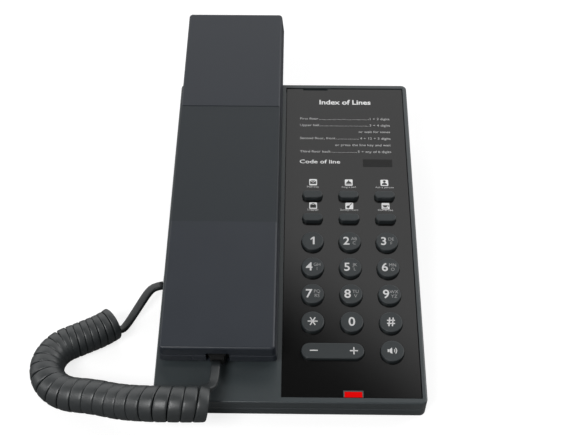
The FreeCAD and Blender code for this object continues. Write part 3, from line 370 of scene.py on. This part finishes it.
# %% Surfaces onto solids
NODE_SURFACES = {
    "casing_black": casing, "handset_black": handset_plastic, "panel_black": panel_lacquer,
    "key_black": key_plastic, "lamp_red": lamp_lens, "lamp_chip": resin, "rubber_black": rubber,
    "board_green": board_mask, "socket_black": socket_plastic, "plunger_grey": plunger_plastic, "steel": steel,
    "cone_paper": cone_paper, "magnet_dark": magnet_grey, "capsule_metal": capsule_can, "foam_black": foam,
    "plug_black": plug_plastic, "cord_black": cord_jacket,
}
for part in frame["record"]["subparts"]:
    node = bpy.data.objects[part["node"]]
    node.data.materials.clear()
    node.data.materials.append(NODE_SURFACES[part["material_slot"]])

# %% [markdown]
# ## The curls' axis
#
# The cord is one flat strip: a short tail from the handset, the curls, and a tail to the base's side. The curls wind
# about an axis that lies on the table, bends, and climbs over the base's front edge. The axis is a smooth curve that
# a few given points shape. Blender's own curve is used for it, and read back as points, rather than a formula.

# %% Line helpers
def smooth_line(name, places, steps):
    """Points along the smooth curve that the given places shape."""
    curve = bpy.data.curves.new(name, "CURVE")
    curve.dimensions = "3D"
    curve.resolution_u = steps
    spline = curve.splines.new("NURBS")
    spline.points.add(len(places) - 1)
    for point, place in zip(spline.points, places):
        point.co = (*place, 1.0)
    spline.order_u = 3
    spline.use_endpoint_u = True
    holder = bpy.data.objects.new(name, curve)
    scene.collection.objects.link(holder)
    mesh = bpy.data.meshes.new_from_object(holder)
    line = [vertex.co.copy() for vertex in mesh.vertices]
    bpy.data.meshes.remove(mesh)
    bpy.data.objects.remove(holder)
    bpy.data.curves.remove(curve)
    return line


def run_lengths(line):
    """Distance along the line at each of its points."""
    total = [0.0]
    for first, second in zip(line, line[1:]):
        total.append(total[-1] + (second - first).length)
    return total


def metres(places):
    """Places given in millimetres, as vectors in metres."""
    return [Vector(place) * MM for place in places]


def step_and_share(value, known):
    """Which step of the known list, which rises, a value lies in, and how far along that step."""
    i = min(max(bisect.bisect_left(known, value), 1), len(known) - 1)
    return i, (value - known[i - 1]) / (known[i] - known[i - 1])


def read_off(value, known, wanted):
    """The wanted list's value where the known list has a value."""
    i, share = step_and_share(value, known)
    return wanted[i - 1] + (wanted[i] - wanted[i - 1]) * share


print("line helpers ready")

# %% Curl axis
CURL_AXIS = [
    (-38.6, -123.6, 20.8), (-51.5, -125.0, 22.5), (-65.5, -123.5, 20.5), (-79.0, -118.5, 14.5),
    (-93.0, -113.3, 11.5), (-107.5, -110.0, 8.35), (-116.3, -102.5, 8.35), (-118.6, -92.0, 8.35),
    (-114.0, -82.0, 8.35), (-104.0, -76.6, 8.35), (-91.9, -69.6, 8.35), (-87.0, -63.9, 8.35),
]
# Distances along the axis and the pitch of the curls there, in millimetres.
CURL_PITCHES = (
    (0.0, 5.8), (25.0, 5.8), (40.0, 6.5), (62.0, 6.5), (75.0, 5.2),
    (90.0, 4.5), (108.0, 3.8), (120.0, 3.4), (200.0, 3.4),
)
LEAD_OUT = 6.5
START_TURN = math.radians(-50)
END_TURN = math.radians(195 + 27 * 360)

axis_line = smooth_line("curl_axis", metres(CURL_AXIS), 40)
axis_runs = run_lengths(axis_line)
axis_length = axis_runs[-1]
lead_out = LEAD_OUT * MM
pitch_places, pitches = ([number * MM for number in column] for column in zip(*CURL_PITCHES))
# The winding angle at each point of the axis; the winding slows to nothing over the lead-out.
axis_turns = [0.0]
for low, high in zip(axis_runs, axis_runs[1:]):
    middle = (low + high) / 2
    slowing = 1 - max(0.0, middle - axis_length + lead_out) / lead_out
    axis_turns.append(axis_turns[-1] + (high - low) * slowing / read_off(middle, pitch_places, pitches))
turn_scale = (END_TURN - START_TURN) / axis_turns[-1]
axis_turns = [START_TURN + turn * turn_scale for turn in axis_turns]
print("curl axis:", round(axis_length / MM, 1), "mm")

# %% [markdown]
# ## The cord's line
#
# A loop winds points about the axis, as a wire is wound on a rod. These and the tails' own points shape one more
# smooth curve, which is the middle of the strip from end to end. A Screw modifier would wind a straight coil, but
# this one has to bend, and its pitch changes along it.

# %% Cord line
HANDSET_TAIL = [
    (-34.8, -101.77, 23.67), (-34.9, -107.19, 22.8), (-35.2, -112.6, 22.6), (-36.2, -116.3, 23.9),
]
BASE_TAIL = [
    (-83.6, -62.2, 2.2), (-80.9, -57.6, 3.8), (-77.3, -51.6, 6.4), (-74.2, -46.2, 8.4),
    (-71.0, -42.6, 9.3), (-66.4, -41.7, 9.3),
]
CURL_RADIUS = 7.0
POINTS_PER_TURN = 20
# How many of the axis's points, to each side, give its direction.
DIRECTION_SPAN = 6


def axis_frame(distance):
    """Point, sideways and upward directions of the axis at a distance along it."""
    index, share = step_and_share(distance, axis_runs)
    low, high = max(index - DIRECTION_SPAN, 0), min(index + DIRECTION_SPAN, len(axis_line) - 1)
    forward = (axis_line[high] - axis_line[low]).normalized()
    sideways = Vector((0, 0, 1)).cross(forward).normalized()
    return axis_line[index - 1].lerp(axis_line[index], share), sideways, forward.cross(sideways)


turn_count = round((END_TURN - START_TURN) / (2 * math.pi) * POINTS_PER_TURN)
# A curve that points on a circle shape runs a little inside it, so the points stand a little outside.
winding_radius = CURL_RADIUS * MM / math.cos(math.pi / POINTS_PER_TURN)
winding = []
for i in range(turn_count + 1):
    turn = START_TURN + (END_TURN - START_TURN) * i / turn_count
    middle, sideways, upward = axis_frame(read_off(turn, axis_turns, axis_runs))
    winding.append(middle + (upward * math.cos(turn) + sideways * math.sin(turn)) * winding_radius)
cord_line = smooth_line("cord_line", metres(HANDSET_TAIL) + winding + metres(BASE_TAIL), 3)
print("curls:", round(turn_count / POINTS_PER_TURN, 2), "turns")

# %% [markdown]
# ## The strip's directions
#
# The real cord is a flat ribbon of wires, so its section is a rounded bar: wide along the coil's axis and thin
# across it. At each point of the line the thin way points away from the coil's axis, and along the tails that
# direction is carried on with as little twist as possible. A bevelled curve would twist as it likes there.

# %% Strip directions
# Points of the line that are nearest to the last few points of the axis belong to the tails.
AXIS_ENDS = 2

tree = kdtree.KDTree(len(axis_line))
for i, point in enumerate(axis_line):
    tree.insert(point, i)
tree.balance()
nearest = [tree.find(point)[1] for point in cord_line]
last_point = len(cord_line) - 1
tangents = [
    (cord_line[min(i + 1, last_point)] - cord_line[max(i - 1, 0)]).normalized() for i in range(len(cord_line))
]
curled = [i for i, index in enumerate(nearest) if AXIS_ENDS < index < len(axis_line) - 1 - AXIS_ENDS]
first_curl, last_curl = curled[0], curled[-1]


def square_to(direction, tangent):
    """The direction, turned as little as it takes to stand square to the tangent."""
    return (direction - tangent * direction.dot(tangent)).normalized()


outward = [None] * len(cord_line)
for i in range(first_curl, last_curl + 1):
    outward[i] = square_to(cord_line[i] - axis_line[nearest[i]], tangents[i])
for i in range(first_curl - 1, -1, -1):
    outward[i] = square_to(outward[i + 1], tangents[i])
for i in range(last_curl + 1, len(cord_line)):
    outward[i] = square_to(outward[i - 1], tangents[i])
print("curls take", last_curl - first_curl + 1, "of", len(cord_line), "points")

# %% [markdown]
# ## The strip's width
#
# Neighbouring turns touch but must not cut each other. So the strip is as wide as the turns leave room for: the
# inside of the bend is the tight place, and the outside the roomy one. One fixed width would overlap at the inside.

# %% Strip widths
# The cord's usual width and its thickness, and the least and the most width that a turn may have.
STRIP_WIDTH, STRIP_THICK = 5.2, 2.5
STRIP_LEAST, STRIP_MOST = 2.4, 6.8
TAIL_WIDTH = 4.4
TURN_SHARE = 0.99
# Points to each side over which the axis's bend is measured, and over which the widths are evened out.
BEND_SPAN, WIDTH_SPAN = 20, 12


def axis_bend(index):
    """How sharply the axis turns, as a vector towards the middle of the bend."""
    low, high = max(index - BEND_SPAN, 0), min(index + BEND_SPAN, len(axis_line) - 1)
    before, after = axis_line[index] - axis_line[low], axis_line[high] - axis_line[index]
    if low == index or high == index:
        return Vector()
    return (after.normalized() - before.normalized()) / ((before.length + after.length) / 2)


bends = [axis_bend(index) for index in range(len(axis_line))]


def strip_width(i):
    """Width of the strip at a point of the line, within the room that its turn has."""
    if not first_curl <= i <= last_curl:
        return TAIL_WIDTH * MM
    away = cord_line[i] - axis_line[nearest[i]]
    pitch = read_off(axis_runs[nearest[i]], pitch_places, pitches) * 2 * math.pi / turn_scale
    room = pitch * (1 - away.dot(bends[nearest[i]])) * TURN_SHARE
    return max(STRIP_LEAST * MM, min(room, STRIP_MOST * MM))


def evened(values, span):
    """Each value's mean with its neighbours up to span places away."""
    means = []
    for i in range(len(values)):
        near = values[max(i - span, 0):i + span + 1]
        means.append(sum(near) / len(near))
    return means


widths = evened([strip_width(i) for i in range(len(cord_line))], WIDTH_SPAN)
print("strip width:", round(min(widths) / MM, 2), "to", round(max(widths) / MM, 2), "mm")

# %% [markdown]
# ## The strip's mesh
#
# The strip is swept by hand: one ring of points per point of the line, joined to the next. Its section is a circle
# pressed towards a rectangle. It takes the place of the three plain solids of the cord.

# %% Strip mesh
STRIP_SIDES = 24
SQUARENESS = 0.42


def rounded_bar(angle):
    """A point on the strip's section: a circle pressed towards a rectangle."""
    c, s = math.cos(angle), math.sin(angle)
    return math.copysign(abs(c) ** SQUARENESS, c), math.copysign(abs(s) ** SQUARENESS, s)


section = [rounded_bar(2 * math.pi * k / STRIP_SIDES) for k in range(STRIP_SIDES)]
strip = bmesh.new()
rings = []
for point, tangent, away, width in zip(cord_line, tangents, outward, widths):
    across = tangent.cross(away)
    places = [point + across * (a * width / 2) + away * (b * STRIP_THICK * MM / 2) for a, b in section]
    rings.append([strip.verts.new(place) for place in places])
for first, second in zip(rings, rings[1:]):
    for k in range(STRIP_SIDES):
        strip.faces.new((first[k], first[k - 1], second[k - 1], second[k]))
strip.faces.new(rings[0])
strip.faces.new(reversed(rings[-1]))
bmesh.ops.recalc_face_normals(strip, faces=strip.faces)
for face in strip.faces:
    face.smooth = True
cord_mesh = bpy.data.meshes.new("curly_cord")
strip.to_mesh(cord_mesh)
strip.free()
cord = bpy.data.objects.new("curly_cord", cord_mesh)
scene.collection.objects.link(cord)
cord_mesh.materials.append(cord_jacket)
print("strip:", len(cord_mesh.vertices), "vertices")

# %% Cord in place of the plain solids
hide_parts("cord_curls", "cord_tail_base", "cord_tail_handset")
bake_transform(cord)

# %% [markdown]
# ## Printing
#
# The marks on the keys are white ink, a few hundredths of a millimetre thick, so they are thin flat meshes just
# above the plastic. Letters and figures start as text, become mesh, and then take their place on the deck. Other
# marks are drawn from bars, strokes, arcs, discs and polygons. All marks of one ink on one key are one piece and ride
# with that key.

# %% Inks
def ink(name, level):
    """A dull ink of a grey level with fine specks."""
    surface = Surface(name)
    speck = surface.noise(0.0003)
    return surface.set(
        base_color=speck.mix(grey(level * 0.92), grey(level)),
        roughness=speck * 0.1 + 0.45,
        normal=surface.bump(speck, 0.000004),
    )


white_ink = ink("white_ink", 0.8)
figure_ink = ink("figure_ink", 0.60)
letter_ink = ink("letter_ink", 0.36)
grey_ink = ink("grey_ink", 0.52)
rim_grey = ink("rim_grey", 0.05)
dark_ink = ink("dark_ink", 0.006)
print("inks: white, figure white, letter grey, grey, rim grey, dark")

# %% Drawing helper
INK_LIFT = 0.02
INK_THICK = 0.03
# Height of a capital letter in the built-in font at size 1.
CAPITAL = 0.682
CORNER_POINTS = 4


class Print:
    """Flat marks drawn on the deck in millimetres, all at one height."""

    def __init__(self, name, body, height):
        self.name, self.body, self.height = name, body, height
        self.mesh = bmesh.new()

    def polygon(self, points, layer=0):
        """A flat shape with the given outline, which runs anticlockwise; a higher layer lies on a lower one."""
        low = self.height + INK_LIFT + layer * INK_THICK
        face = self.mesh.faces.new([self.mesh.verts.new((x, y, low)) for x, y in points])
        raised = bmesh.ops.extrude_face_region(self.mesh, geom=[face])
        top = [item for item in raised["geom"] if isinstance(item, bmesh.types.BMVert)]
        bmesh.ops.translate(self.mesh, verts=top, vec=(0, 0, INK_THICK))

    def bar(self, x, y, width, length, corner=0.0, layer=0):
        """A rectangle about a point, with rounded corners if a corner radius is given."""
        corner = min(corner, width / 2 - 0.001, length / 2 - 0.001)
        turns = [90 * k / (CORNER_POINTS - 1) for k in range(CORNER_POINTS)] if corner > 0 else [45]
        points = []
        for quarter, (sx, sy) in enumerate(((1, -1), (1, 1), (-1, 1), (-1, -1))):
            middle = (x + sx * (width / 2 - corner), y + sy * (length / 2 - corner))
            for turn in turns:
                angle = math.radians(quarter * 90 - 90 + turn)
                points.append((middle[0] + corner * math.cos(angle), middle[1] + corner * math.sin(angle)))
        self.polygon(points, layer)

    def stroke(self, start, stop, width, layer=0):
        """A straight bar from one point to another."""
        start, stop = Vector(start), Vector(stop)
        along = stop - start
        side = Vector((-along.y, along.x)).normalized() * (width / 2)
        self.polygon([tuple(corner) for corner in (start - side, stop - side, stop + side, start + side)], layer)

    def arc(self, x, y, radius, width, start, stop, layer=0, steps=14):
        """A band along part of a circle, angles in degrees."""
        angles = [math.radians(start + (stop - start) * k / steps) for k in range(steps + 1)]
        inner, outer = radius - width / 2, radius + width / 2
        for first, second in zip(angles, angles[1:]):
            corners = ((inner, first), (outer, first), (outer, second), (inner, second))
            self.polygon([(x + r * math.cos(a), y + r * math.sin(a)) for r, a in corners], layer)

    def disc(self, x, y, radius, layer=0, start=0, stop=360, steps=20):
        """A disc, or the part of one between two angles in degrees."""
        angles = [math.radians(start + (stop - start) * k / steps) for k in range(steps + (stop - start < 360))]
        self.polygon([(x + radius * math.cos(a), y + radius * math.sin(a)) for a in angles], layer)

    def text(self, words, x, y, height, weight=0.0, width=1.0, held="middle"):
        """Words with capitals of a height about y, held at x by an end or the middle; returns both their ends."""
        font = bpy.data.curves.new(self.name + "_text", "FONT")
        font.body = words
        font.size = 1.0
        font.offset = weight
        font.extrude = INK_THICK / 2
        font.resolution_u = 4
        holder = bpy.data.objects.new(self.name + "_text", font)
        scene.collection.objects.link(holder)
        flat = bpy.data.meshes.new_from_object(holder)
        low, high = (pick(vertex.co.x for vertex in flat.vertices) for pick in (min, max))
        held_at = {"left": low, "middle": (low + high) / 2, "right": high}[held]
        scale = height / CAPITAL
        flat.transform(
            Matrix.Translation((x, y - height / 2, self.height + INK_LIFT + INK_THICK / 2))
            @ Matrix.Diagonal((scale * width, scale, 1, 1)) @ Matrix.Translation((-held_at, 0, 0))
        )
        self.mesh.from_mesh(flat)
        bpy.data.meshes.remove(flat)
        bpy.data.objects.remove(holder)
        bpy.data.curves.remove(font)
        return x + (low - held_at) * scale * width, x + (high - held_at) * scale * width

    def finish(self, material):
        """Takes the marks to their place on the deck as one piece."""
        bmesh.ops.scale(self.mesh, vec=(MM, MM, MM), verts=self.mesh.verts)
        self.mesh.transform(DECK)
        data = bpy.data.meshes.new(self.name)
        self.mesh.to_mesh(data)
        self.mesh.free()
        data.materials.append(material)
        piece = bpy.data.objects.new(self.name, data)
        scene.collection.objects.link(piece)
        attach(piece, self.body)


print("print draws polygons, bars, strokes, arcs, discs and text")

# %% [markdown]
# ## Marks on the keys
#
# The dial carries the usual figures with their letter groups, a star and a hash. Figures with letters sit left of
# the middle, and the letters stand beside them in two short rows. The rocker has a minus and a plus, and the
# loudspeaker key a small horn with two sound waves.

# %% Dial marks
COLUMNS = (10.65, 29.7, 48.75)
ROW_FRONT, ROW_PITCH = 26.9, 15.745
FIGURE_HEIGHT, FIGURE_SHIFT = 4.6, -1.75
LETTER_HEIGHT, LETTER_SHIFT = 1.8, 2.2
LETTER_REAR, LETTER_PITCH = 1.3, 2.55
STROKE = 0.6
STAR_REACH = 2.45
HASH_STROKE, HASH_STEP, HASH_SLANT = 0.65, 0.85, 0.3
HASH_TALL, HASH_WIDE = 2.4, 1.95
DIAL = (
    (("star", ""), ("0", ""), ("hash", "")),
    (("7", "PQ RS"), ("8", "TU V"), ("9", "WX YZ")),
    (("4", "GH I"), ("5", "JK L"), ("6", "MN O")),
    (("1", ""), ("2", "AB C"), ("3", "DE F")),
)
# The built-in font's figure one is a bare bar, so this one is drawn with its flag.
ONE = ((0.85, -2.35), (0.85, 2.35), (0.15, 2.35), (-1.25, 1.2), (-1.25, 0.3), (-0.1, 1.1), (-0.1, -2.35))
ONE_SHIFT = 0.2


def key_marks(name, letters, x, y):
    """The figure or sign of one dial key, and its letters if it has any."""
    marks = Print(f"marks_{name}", f"key_{name}_body", KEY_TOP)
    if name == "star":
        for angle in (0, 60, 120):
            reach = Vector((math.cos(math.radians(angle)), math.sin(math.radians(angle)))) * STAR_REACH
            marks.stroke(Vector((x, y)) - reach, Vector((x, y)) + reach, STROKE)
    elif name == "hash":
        for step in (-HASH_STEP, HASH_STEP):
            lower, upper = (x + step - HASH_SLANT, y - HASH_TALL), (x + step + HASH_SLANT, y + HASH_TALL)
            marks.stroke(lower, upper, HASH_STROKE)
            marks.stroke((x - HASH_WIDE, y + step), (x + HASH_WIDE, y + step), HASH_STROKE)
    elif name == "1":
        marks.polygon([(x + ONE_SHIFT + across, y + along) for across, along in ONE])
    else:
        marks.text(name, x + FIGURE_SHIFT if letters else x, y, FIGURE_HEIGHT, weight=0.014, width=1.02)
    marks.finish(figure_ink)
    if letters:
        groups = Print(f"letters_{name}", f"key_{name}_body", KEY_TOP)
        for row, group in enumerate(letters.split()):
            row_y = y + LETTER_REAR - row * LETTER_PITCH
            groups.text(group, x + LETTER_SHIFT, row_y, LETTER_HEIGHT, weight=-0.008, width=0.95)
        groups.finish(letter_ink)


for row, keys in enumerate(DIAL, start=1):
    for x, (name, letters) in zip(COLUMNS, keys):
        key_marks(name, letters, x, ROW_FRONT + row * ROW_PITCH)
print("marked", sum(len(keys) for keys in DIAL), "dial keys")

# %% Rocker and loudspeaker marks
MINUS_ENDS, PLUS_ENDS = (9.25, 13.1), (28.4, 32.3)
PLUS_MIDDLE, PLUS_REACH = 30.35, 1.95
HORN = ((-1.3, -0.75), (0, -1.7), (0, 1.7), (-1.3, 0.75))
HORN_SHIFT = -0.1
DRIVER_SHIFT, DRIVER_WIDE, DRIVER_LONG = -1.85, 0.75, 1.5
# Radius and half the opening angle of each sound wave.
WAVES = ((1.2, 38), (2.1, 44))
WAVE_WIDTH = 0.42

volume_marks = Print("marks_volume", "volume_rocker_body", VOLUME_TOP)
for start, stop in (MINUS_ENDS, PLUS_ENDS):
    volume_marks.stroke((start, ROW_FRONT), (stop, ROW_FRONT), STROKE)
volume_marks.stroke((PLUS_MIDDLE, ROW_FRONT - PLUS_REACH), (PLUS_MIDDLE, ROW_FRONT + PLUS_REACH), STROKE)
volume_marks.finish(figure_ink)

horn_x = COLUMNS[2] + HORN_SHIFT
horn = Print("marks_speaker", "key_speaker_body", KEY_TOP)
horn.bar(horn_x + DRIVER_SHIFT, ROW_FRONT, DRIVER_WIDE, DRIVER_LONG)
horn.polygon([(horn_x + across, ROW_FRONT + along) for across, along in HORN])
for radius, opening in WAVES:
    horn.arc(horn_x, ROW_FRONT, radius, WAVE_WIDTH, -opening, opening)
horn.finish(figure_ink)
print("marked the rocker and the loudspeaker key")

# %% [markdown]
# ## Marks on the panel
#
# The panel carries a heading, a list joined by dotted leaders, and a caption for each service key. What is printed
# here is plain wording of our own, set where such print sits on the real panel. A bare dark window is left for a
# number slip, and a thin grey rim frames the lamp.

# %% Panel lines
HEADING_X, HEADING_Y, HEADING_TALL = 29.1, 185.6, 3.2
CODE_Y, CODE_TALL = 142.9, 2.4
LIST_LEFT, LIST_RIGHT = 3.8, 53.7
LIST_REAR, LIST_PITCH = 173.4, 4.69
LIST_TALL, CAPTION_TALL, WIDE = 1.45, 1.05, 1.2
CAPTION_SHIFT = 0.3
DOT, DOT_PITCH = 0.3, 0.7
# What stands at the left and at the right edge; a dotted leader joins them where both are there.
LIST_ROWS = (
    ("First floor", "1 + 2 digits"), ("Upper hall", "3 + 4 digits"), ("", "or wait for tones"),
    ("Second floor, front", "4 + 12 + 3 digits"), ("", "or press the line key and wait"),
    ("Third floor back", "5 + any of 6 digits"),
)
CAPTIONS = (
    (125.8, ("Mail tray", "Ring a bell", "Ask a person")),
    (110.9, ("Luggage", "Sweep room", "Hot drinks")),
)

heading = Print("panel_heading", "base", PANEL_TOP)
heading.text("Index of Lines", HEADING_X, HEADING_Y, HEADING_TALL, weight=0.024, width=1.1)
heading.text("Code of line", LIST_LEFT, CODE_Y, CODE_TALL, weight=0.01, width=1.25, held="left")
heading.finish(white_ink)

listing = Print("panel_listing", "base", PANEL_TOP)
for row, (left_words, right_words) in enumerate(LIST_ROWS):
    y = LIST_REAR - row * LIST_PITCH
    right_start, _ = listing.text(right_words, LIST_RIGHT, y, LIST_TALL, width=WIDE, held="right")
    if left_words:
        _, left_end = listing.text(left_words, LIST_LEFT, y, LIST_TALL, width=WIDE, held="left")
        for k in range(int((right_start - left_end) / DOT_PITCH) - 1):
            listing.bar(left_end + DOT_PITCH * (k + 1), y - LIST_TALL / 2 + DOT / 2, DOT, DOT)
for y, words in CAPTIONS:
    for x, caption in zip(COLUMNS, words):
        listing.text(caption, x + CAPTION_SHIFT, y, CAPTION_TALL, width=WIDE)
listing.finish(grey_ink)
print("panel lines:", len(LIST_ROWS), "rows")

# %% Number window and lamp rim
WINDOW_X, WINDOW_Y = 45.95, 142.1
WINDOW_WIDE, WINDOW_LONG, WINDOW_CORNER = 15.9, 5.1, 0.3
RIM = 0.6
# The rim's side bars lie this far from the lamp's middle, and its rear bar closes them behind.
RIM_SIDE, RIM_SIDE_Y, RIM_SIDE_LONG = 4.45, 5.0, 3.4
RIM_REAR_Y, RIM_REAR_WIDE = 6.4, 8.3

window = Print("number_window", "base", PANEL_TOP)
window.bar(WINDOW_X, WINDOW_Y, WINDOW_WIDE, WINDOW_LONG, corner=WINDOW_CORNER)
window.finish(window_film)

lamp_rim = Print("lamp_rim", "base", LENS_TOP)
for side in (-RIM_SIDE, RIM_SIDE):
    lamp_rim.bar(COLUMNS[1] + side, RIM_SIDE_Y, RIM, RIM_SIDE_LONG)
lamp_rim.bar(COLUMNS[1], RIM_REAR_Y, RIM_REAR_WIDE, RIM)
lamp_rim.finish(rim_grey)
print("number window and lamp rim")

# %% [markdown]
# ## Tiles above the service keys
#
# Above each caption stands a white tile with a simple picture: envelope, bell, person, suitcase, broom and cup. An
# image on the panel would be quicker, but it blurs from close by. So each picture is a few dark shapes one layer up.

# %% Service pictures
TILE, TILE_CORNER, TILE_SHIFT = 4.15, 0.5, 0.35
TILE_ROWS = (128.8, 113.4)
tiles = Print("service_tiles", "base", PANEL_TOP)
pictures = Print("service_pictures", "base", PANEL_TOP)


def envelope(x, y):
    pictures.bar(x, y, 3.2, 2.3, layer=1)


def bell(x, y):
    pictures.disc(x, y - 0.6, 1.4, layer=1, start=0, stop=180)
    pictures.bar(x, y - 1.0, 3.4, 0.5, layer=1)
    pictures.disc(x, y + 1.1, 0.35, layer=1)


def person(x, y):
    pictures.disc(x, y + 0.9, 0.75, layer=1)
    pictures.disc(x, y - 1.5, 1.45, layer=1, start=0, stop=180)


def suitcase(x, y):
    pictures.bar(x, y - 0.4, 3.2, 2.1, corner=0.3, layer=1)
    pictures.arc(x, y + 0.6, 0.75, 0.35, 0, 180, layer=1, steps=8)


def broom(x, y):
    pictures.stroke((x + 1.3, y + 1.6), (x - 0.2, y - 0.2), 0.4, layer=1)
    pictures.polygon([(x - 1.7, y - 0.7), (x - 0.6, y - 1.7), (x + 0.3, y - 0.6), (x - 0.6, y + 0.3)], layer=1)


def cup(x, y):
    pictures.disc(x - 0.2, y + 0.6, 1.3, layer=1, start=180, stop=360)
    pictures.arc(x + 1.2, y + 0.2, 0.5, 0.3, -90, 90, layer=1, steps=8)
    pictures.bar(x - 0.2, y - 1.3, 3.0, 0.4, layer=1)


for y, row in zip(TILE_ROWS, ((envelope, bell, person), (suitcase, broom, cup))):
    for column, draw in zip(COLUMNS, row):
        x = column + TILE_SHIFT
        tiles.bar(x, y, TILE, TILE, corner=TILE_CORNER)
        draw(x, y)
tiles.finish(white_ink)
pictures.finish(dark_ink)

flaps = Print("envelope_flap", "base", PANEL_TOP)
flap_x, flap_y = COLUMNS[0] + TILE_SHIFT, TILE_ROWS[0]
for side in (-1.6, 1.6):
    flaps.stroke((flap_x + side, flap_y + 1.15), (flap_x, flap_y - 0.1), 0.3, layer=2)
flaps.finish(white_ink)
print("service tiles:", len(TILE_ROWS) * len(COLUMNS))

# %% [markdown]
# ## Floor
#
# The photograph is a plain product shot on white. The floor is white to the camera and a middle grey to every other
# ray, so that the sides of the casing stay dark. It still takes the object's shadow.

# %% Floor
FLOOR_SIZE = 3.0
FLOOR_DIFFUSE, FLOOR_MIRRORED, FLOOR_SEEN, FLOOR_GLOW = grey(0.16), grey(0.20), grey(0.30), grey(0.8)

floor_mesh = bmesh.new()
bmesh.ops.create_grid(floor_mesh, x_segments=8, y_segments=8, size=FLOOR_SIZE)
floor_data = bpy.data.meshes.new("floor")
floor_mesh.to_mesh(floor_data)
floor_mesh.free()
floor = bpy.data.objects.new("floor", floor_data)
scene.collection.objects.link(floor)
paper = Surface("studio_paper")
to_camera, to_mirror, to_glass = (
    paper.node("ShaderNodeLightPath", {}, out=f"Is {kind} Ray") for kind in ("Camera", "Glossy", "Transmission")
)
paper.set(
    base_color=to_camera.mix((to_mirror + to_glass).mix(FLOOR_DIFFUSE, FLOOR_MIRRORED), FLOOR_SEEN),
    roughness=0.9,
    specular_ior_level=0.0,
    emission_color=to_camera.mix(grey(0.0), FLOOR_GLOW),
    emission_strength=1.0,
)
floor_data.materials.append(paper.material)
print("floor:", 2 * FLOOR_SIZE, "m wide")

# %% [markdown]
# ## Light
#
# One soft box at the front left draws the highlights on the coil and along the front edges. Two weaker ones, low at
# the left and high at the right, draw the edges there. The world is white to the camera, so the frame has no horizon.
# To other rays it is a bright studio with a dark ceiling: the panel mirrors the edge of that ceiling, and so falls
# off from grey to black across its near left corner.

# %% Soft boxes
def soft_box(name, place, target, width, height, power):
    """A rectangular light at a place, turned towards a target."""
    light = bpy.data.lights.new(name, "AREA")
    light.shape = "RECTANGLE"
    light.size, light.size_y = width, height
    light.energy = power
    holder = bpy.data.objects.new(name, light)
    holder.location = place
    holder.rotation_euler = (Vector(target) - Vector(place)).to_track_quat("-Z", "Y").to_euler()
    scene.collection.objects.link(holder)


soft_box("coil_box", (-0.5, -0.8, 0.92), (-0.08, -0.11, 0.02), 0.5, 0.4, 10.0)
soft_box("left_box", (-1.2, -0.3, 0.45), (-0.09, -0.1, 0.01), 0.4, 0.3, 2.0)
soft_box("right_box", (0.9, 0.2, 0.85), (-0.01, 0.0, 0.03), 0.3, 0.3, 2.5)
print("three soft boxes")

# %% Studio sky
STUDIO, CEILING = 1.25, 0.02
# How far the ceiling's edge leans back and to the right, and where it starts and is full.
LEAN_BACK, LEAN_RIGHT = 0.36, 0.437
CEILING_START, CEILING_FULL = 0.765, 0.84
# How much of the studio's light is taken away on the camera's side, and half the width of the change.
DIMMED_BEHIND, DIMMED_EDGE = 0.75, 0.25

sky = Surface("studio", bpy.data.worlds.new("studio"))
scene.world = sky.material
sideways, backwards, upwards = sky.parts(sky.node("ShaderNodeTexCoord", {}, out="Generated"))
ceiling = (upwards - LEAN_BACK * backwards - LEAN_RIGHT * sideways).between(CEILING_START, CEILING_FULL)
behind_camera = backwards.between(DIMMED_EDGE, -DIMMED_EDGE)
glow = (1 - DIMMED_BEHIND * behind_camera) * (STUDIO - (STUDIO - CEILING) * ceiling)
to_camera = sky.node("ShaderNodeLightPath", {}, out="Is Camera Ray")
background = sky.tree.nodes["Background"]
sky.plug(background.inputs["Color"], (1.0, 1.0, 1.0))
sky.plug(background.inputs["Strength"], glow + to_camera * (1 - glow))
scene.view_settings.view_transform = "Standard"
print("studio sky")
